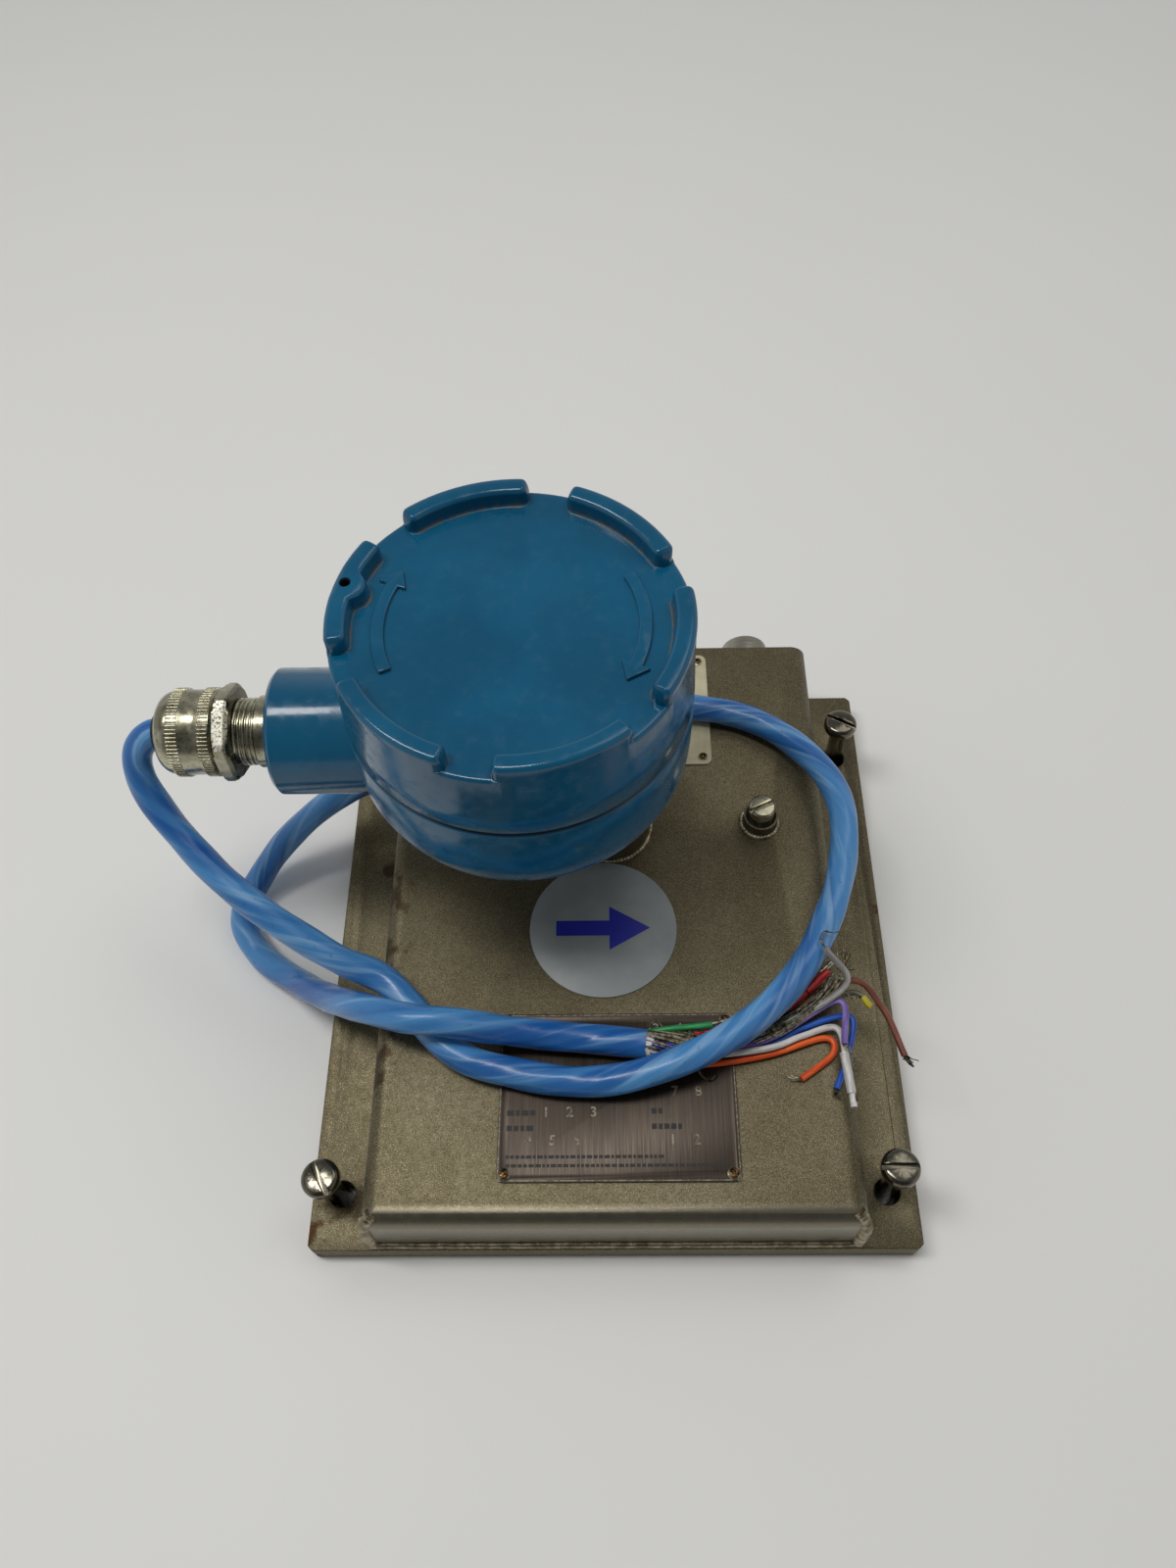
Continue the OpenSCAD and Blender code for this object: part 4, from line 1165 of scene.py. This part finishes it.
def drill_seal_hole(cover):
    """Blind hole for a seal wire in one lug, with a black lining as painted shade."""
    place = Matrix.Translation(round_box(SEAL_HOLE_AT, SEAL_LUG, 0))
    bottom, over, hole_r = COVER_TOP - 1.5, COVER_TOP + 8, 1.6
    outline = [(0, bottom), (hole_r, bottom), (hole_r, over), (0, over)]
    drill = linked("drill", merged(raw_mesh("drill", *revolved(outline, 24, place))))
    cut = cover.modifiers.new("hole", "BOOLEAN")
    cut.object = drill
    cut.solver = "EXACT"
    graph = bpy.context.evaluated_depsgraph_get()
    result = bpy.data.meshes.new_from_object(cover.evaluated_get(graph))
    cover.modifiers.clear()
    cover.data = result
    bpy.data.objects.remove(drill)
    deep, mouth, outer, inner = COVER_TOP - 1, COVER_TOP + LUG_H - 0.5, 1.58, 1.4
    lining = [(0, deep), (outer, deep), (outer, mouth), (inner, mouth)]
    lining += [(inner, deep + 0.4), (0, deep + 0.4)]
    solid("seal_hole", revolved(lining, 24, place), "cover", "hole_black")


def turn_arrow(name, radius, start, end):
    """Raised cast arrow that shows which way the cover screws on, from start to end in degrees."""
    half, head_half, head_degrees, steps = 1.7, 4.0, 9.0, 20
    way = 1 if end > start else -1
    neck = end - way * head_degrees
    angles = [start + (neck - start) * k / steps for k in range(steps + 1)]
    outline = [(radius + half, a) for a in angles]
    outline += [(radius + head_half, neck), (radius, end), (radius - head_half, neck)]
    outline += [(radius - half, a) for a in reversed(angles)]
    heights = (COVER_TOP - 0.2, COVER_TOP + 1.1)
    points = [round_box(r, a, z) for z in heights for r, a in outline]
    n = len(outline)
    faces = [tuple(range(n)), tuple(range(2 * n - 1, n - 1, -1))]
    faces += [(i, (i + 1) % n, n + (i + 1) % n, n + i) for i in range(n)]
    mesh = bevelled(name, merged(raw_mesh(name, points, faces)), 0.35, 3, 40)
    foot = [float(v.co.z < (COVER_TOP + 0.3) * MM) for v in mesh.vertices]
    finished(name, soiled(mesh, foot), "cover", "blue_enamel", sharp=50)


# ---------- cable gland ----------

# Hexagon: half the width over its flats, degrees that it is turned, and middle of its length
HEX_HALF = 12.7
HEX_TURN = 3.75
HEX_MIDDLE = 111.1


def make_gland_nut():
    """Dome nut with a lower and an upper band for the ribs."""
    nose = arc(7.4, 127.0, 5.0, 0, 90, 10)
    outline = [
        (10.05, 114.0), (12.4, 114.0), (12.9, 114.5), (12.9, 117.8), (12.6, 118.6), (12.6, 122.8),
        (12.9, 123.4), (12.9, 126.6), *nose, (6.4, 132.0), (6.4, 127.1), (10.05, 127.1),
    ]
    solid("dome_nut", revolved(outline, 96, along_gland()), "gland_nut", "zinc_plate", ["gland_nut"])


def make_gland_body():
    """Gland body: hub thread, relief and a hexagon whose corners are turned off."""
    turned_off = {6: 13.2, 7: 14.1, 8: 15.0, 9: 15.0, 10: 14.1, 11: 13.2}
    hexagon = [(HEX_HALF, x) for x in (108.7, 109.3, 110.2, 112.3, 113.0, 113.5)]
    outline = [
        (6.0, 82.4), (10.7, 82.4), (10.7, 102.0), (10.35, 102.4), (9.5, 102.6), (9.5, 108.7), *hexagon,
        (10.0, 113.5), (10.0, 124.0), (8.0, 124.0), (8.0, 115.0), (6.0, 115.0),
    ]

    def flats(i, angle):
        if i not in turned_off:
            return 0.0
        off = (math.degrees(angle) - HEX_TURN) % 60 - 30
        return min(HEX_HALF / math.cos(math.radians(off)), turned_off[i]) - HEX_HALF

    body = revolved(outline, 96, along_gland(), flats)
    solid("gland_hexagon", body, "case", "zinc_plate", ["gland_body"], 24)


def make_gland_rubber():
    """Dark ring in the gap between the hexagon and the nut, and the lip of the bushing round the cable."""
    gap_ring = [(10.05, 113.52), (12.3, 113.52), (12.3, 113.98), (10.05, 113.98)]
    solid("gland_grease", revolved(gap_ring, 64, along_gland()), "case", "black_rubber")
    lip = [(4.7, 131.9), (5.85, 131.9), *arc(5.2, 133.2, 0.65, 0, 120, 5), (4.7, 133.4)]
    solid("bushing_lip", revolved(lip, 48, along_gland()), "case", "black_rubber")


def make_gland():
    """Cable gland with the ribs and the thread that stand on it."""
    make_gland_nut()
    make_gland_body()
    make_gland_rubber()
    ribs = rib_growth()
    for name, x, length in (("front", 116.2, 3.0), ("rear", 125.1, 3.2)):
        ribs.grow(
            "nut_ribs_" + name, "gland_nut", "zinc_plate", place=along_gland(x * MM), Count=70,
            Rib_Length=length * MM, Radius=12.88 * MM, Rib_Width=0.62 * MM)
    thread_growth().grow(
        "gland_thread", "case", "zinc_plate", place=along_gland(102.6 * MM),
        Turns=4.2, Radius=9.45 * MM, Length=5.9 * MM, Ridge=0.62 * MM)


# ---------- welds ----------

def foot_points(foot):
    """Shaky line along the left, the front and the right foot of the case."""
    left, right, front, rear = edges_of("case_cover")
    rng = random.Random(4)
    steps, shake = 40, 0.06
    runs = [
        ((left - 0.2, rear), (left - 0.2, front)),
        ((left, front - 0.3), (right, front - 0.3)),
        ((right + 0.2, front), (right + 0.2, rear)),
    ]
    points = []
    for (x0, y0), (x1, y1) in runs:
        for k in range(steps):
            x = x0 + (x1 - x0) * k / steps + rng.uniform(-shake, shake)
            y = y0 + (y1 - y0) * k / steps + rng.uniform(-shake, shake)
            points.append((x, y, foot))
    return points + [(right + 0.2, rear, foot)]


def corner_points(edge, sign, front, foot):
    """Line up a front corner of the case and over its bend: sign is the side that it faces."""
    x = edge - sign * 0.55
    return [
        (x + 0.4 * sign, front + 0.35, foot + 0.6), (x + 0.35 * sign, front + 0.3, foot + 8),
        (x, front + 0.7, CASE_TOP - 8), (x - 1.3 * sign, front + 2.1, CASE_TOP - 2.6),
        (x - 2.8 * sign, front + 3.6, CASE_TOP - 0.9)]


def circle_points(x, y, r, steps):
    turns = [TAU * k / steps for k in range(steps)]
    return [(x + r * math.cos(t), y + r * math.sin(t), CASE_TOP + 0.1) for t in turns]


# Beads all round: middle, radius, number of points and half the bead's width
RING_WELDS = {"neck_weld": (0, 30.5, 13.6, 72, 0.85), "collar_weld": (50.2, 31.3, 6.1, 48, 0.9)}


def make_welds():
    """Beads at the case's foot and front corners, round the neck and round the purge collar."""
    weld = weld_growth()
    left, right, front, _ = edges_of("case_cover")
    foot = PLATE_TOP + 0.2
    sizes = {"Radius": 1.25 * MM, "Ripple_Depth": 0.03 * MM, "Unevenness": 0.25 * MM}
    weld.grow("foot_weld", "case", "weld_metal", path_of("foot", foot_points(foot)), **sizes)
    sizes = {"Radius": 1.8 * MM, "Ripple_Depth": 0.12 * MM, "Unevenness": 1.1 * MM}
    for side, edge, sign in (("left", left, -1), ("right", right, 1)):
        path = path_of("corner", corner_points(edge, sign, front, foot))
        weld.grow("corner_weld_" + side, "case", "weld_metal", path, **sizes)
    for name, (x, y, r, steps, bead) in RING_WELDS.items():
        path = path_of(name, circle_points(x, y, r, steps), closed=True)
        weld.grow(name, "case", "weld_metal", path, Radius=bead * MM)


# ---------- plates and their marks ----------

def flat_marks(name, material, outlines, z):
    """Thin filled marks that stand a hair proud of a plate at z: outlines are in millimetres."""
    points, faces = [], []
    for outline in outlines:
        base, n = len(points), len(outline)
        for lift in (-0.2, 0.04):
            points.extend(Vector((x * MM, y * MM, z + lift * MM)) for x, y in outline)
        faces.append(tuple(range(base + n - 1, base - 1, -1)))
        faces.append(tuple(range(base + n, base + 2 * n)))
        for i in range(n):
            j = (i + 1) % n
            faces.append((base + i, base + j, base + n + j, base + n + i))
    solid(name, (points, faces), "case", material)


def bar(x, y, w, h):
    return [(x, y), (x + w, y), (x + w, y + h), (x, y + h)]


def numerals(name, material, marks, z, size):
    """Plain numbers, each given as (number, x, y) in millimetres, as one mesh."""
    joined = bmesh.new()
    for number, x, y in marks:
        curve = bpy.data.curves.new(name, "FONT")
        curve.body = str(number)
        curve.size = size * MM
        curve.extrude = 0.05 * MM
        curve.offset = 0.09 * MM
        curve.resolution_u = 3
        mesh = baked(linked(name + "_text", curve))
        mesh.transform(Matrix.Translation((x * MM, y * MM, z)))
        joined.from_mesh(mesh)
    mesh = bpy.data.meshes.new(name)
    joined.to_mesh(mesh)
    joined.free()
    finished(name, mesh, "case", material)


def plate_dashes(left, front):
    """Rows of dashes, each row (from the left, from the front, height, length) in millimetres."""
    rows = [
        (2.6, 4.2, 1.5, 62), (2.6, 6.7, 1.5, 46), (2.6, 26.2, 1.5, 20), (2.6, 14.6, 2.6, 6),
        (2.6, 19.1, 2.6, 7), (45, 15.0, 2.6, 9), (45, 19.5, 2.6, 3), (2.6, 34.6, 1.2, 8),
        (2.6, 42.8, 1.2, 9), (45, 33.0, 1.2, 8),
    ]
    rng = random.Random(11)
    dashes = []
    for x, y, tall, length in rows:
        end = x + length
        while x < end:
            wide = rng.choice((0.8, 1.1, 1.5)) * (0.6 + 0.3 * tall)
            dashes.append(bar(left + x, front + y, wide, 0.62 * tall))
            x += wide + 0.25 + 0.1 * tall
    return dashes


def plate_numbers(left, front):
    """Stamped numbers, each (number, x, y)."""
    places = [
        (1, 13, 18.8), (2, 20, 18.8), (3, 27, 18.8), (4, 8, 10.6), (5, 15, 10.6), (6, 22, 10.6),
        (7, 51, 24.8), (8, 58, 24.8), (1, 50, 10.6), (2, 57, 10.6), (3, 46, 44.2), (4, 53, 44.2),
        (5, 60, 44.2),
    ]
    return [(number, left + x, front + y) for number, x, y in places]


def plate_border(left, right, front, rear):
    """Four thin bars just inside the plate's edges."""
    line = 0.3
    wide, tall = right - left - 2 * line, rear - front - 4 * line
    across = [bar(left + line, y, wide, line) for y in (front + line, rear - 2 * line)]
    return across + [bar(x, front + 2 * line, line, tall) for x in (left + line, right - 2 * line)]


def make_rivet_rims(z):
    """Rolled rims of the rivet heads, as one mesh."""
    points, faces = [], []
    for node, radius in RIVETS.items():
        for x, y, _ in rivet_places(node):
            place = Matrix.Translation((x, y, z))
            ring, around = revolved(arc(radius, 0.1, 0.22, 0, 315, 7), 32, place)
            faces.extend(tuple(len(points) + i for i in face) for face in around)
            points.extend(ring)
    solid("rivet_rims", (points, faces), "case", "strand_metal")


def make_flow_arrow():
    """Plain arrow on the round badge."""
    left, right, front, rear = edges_of("badge_disc")
    x0, y0 = (left + right) / 2, (front + rear) / 2
    arrow = [(-15, -2.6), (2, -2.6), (2, -7.5), (15, 0), (2, 7.5), (2, 2.6), (-15, 2.6)]
    outline = [(x0 + x, y0 + y) for x, y in arrow]
    flat_marks("flow_arrow", "badge_ink", [outline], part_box("badge_disc")[1].z)


def make_plates():
    """Plain numbers, dashes, a border and rivet rims on the data plate; an arrow on the badge."""
    left, right, front, rear = edges_of("data_plate")
    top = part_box("data_plate")[1].z
    flat_marks("plate_dashes", "plate_ink", plate_dashes(left, front), top)
    numerals("plate_numbers", "stamped_mark", plate_numbers(left, front), top, 4.1)
    flat_marks("plate_border", "stamped_mark", plate_border(left, right, front, rear), top)
    make_rivet_rims(top)
    make_flow_arrow()


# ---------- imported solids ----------

# Name of the softened copy, and the width of its broken edges in millimetres
SOFTENED = {
    "back_plate": ("mounting_plate", 0.35), "case_cover": ("folded_case", 0.35),
    "purge_boss": ("purge_collar", 0.3), "purge_plug": ("slotted_plug", 0.22),
    "jbox_body": ("junction_bowl", 0.7), "inlet_fitting": ("inlet_stub", 0.4),
    "outlet_fitting": ("outlet_stub", 0.4), "data_plate": ("etched_sheet", 0.15),
    "approval_plate": ("pale_sheet", 0.15), "badge_disc": ("grey_disc", 0.12),
    "mounting_screws": ("loose_screws", 0.2), "data_plate_rivets": ("drive_rivets", 0.1),
    "approval_plate_rivets": ("rear_rivets", 0.1),
}


def soften_packed_solids():
    for node, (name, width) in SOFTENED.items():
        softened(node, name, NODES[node].material_slots[0].material.name, width)


def paint_packed_nodes():
    for node in NODES.values():
        for slot in node.material_slots:
            slot.material = MATERIALS[slot.material.name.removeprefix("packed_")]


# ---------- studio ----------

def make_floor():
    half = 3.0
    corners = [(-half, -half, 0), (half, -half, 0), (half, half, 0), (-half, half, 0)]
    floor = linked("floor", raw_mesh("floor", corners, [(0, 1, 2, 3)]))
    floor.data.materials.append(MATERIALS["floor_paint"])


def make_lamp(name, place, power, width, length):
    """Soft lamp that points at the part."""
    lamp = bpy.data.lights.new(name, "AREA")
    lamp.shape = "RECTANGLE"
    lamp.energy = power
    lamp.size = width
    lamp.size_y = length
    lamp.color = (1.0, 0.985, 0.96)
    holder = linked(name, lamp)
    holder.location = place
    aim = Vector((0, 0, 0.05)) - Vector(place)
    holder.rotation_euler = aim.to_track_quat("-Z", "Y").to_euler()


def make_walls():
    """Dim surroundings, paler near the horizon and dark at the front."""
    world = bpy.data.worlds.new("walls")
    world.use_nodes = True
    bpy.context.scene.world = world
    sky = NodeMaker(world.node_tree)
    where = sky.node("TexCoord").outputs["Generated"]
    pale = sky.step(sky.split(where)[2], 0.3, 0.75, 0.5, 0.2)
    front = sky.measure("DOT_PRODUCT", where, (0.0, -0.97, 0.25))
    dusk = sky.step(front, 0.5, 0.9, 1.0, 0.25)
    background = world.node_tree.nodes["Background"]
    sky.feed(background.inputs["Strength"], sky.both(pale, dusk))
    sky.feed(background.inputs["Color"], (0.98, 0.99, 1.0, 1.0))


def make_studio():
    """Pale floor, two soft lamps overhead and dim walls."""
    make_floor()
    make_lamp("overhead", (-0.42, 0.05, 1.35), 8.2, 0.26, 0.9)
    make_lamp("side_lamp", (0.5, 0.45, 1.3), 2.2, 0.7, 0.7)
    make_walls()
    bpy.context.scene.view_settings.view_transform = "Standard"


MATERIALS = make_materials()
paint_packed_nodes()
make_camera()
make_cords()
make_studio()
make_cover()
turn_arrow("turn_arrow_left", 35.0, 205.0, 148.0)
turn_arrow("turn_arrow_right", 35.0, 28.0, -32.0)
make_gland()
soften_packed_solids()
make_welds()
make_plates()
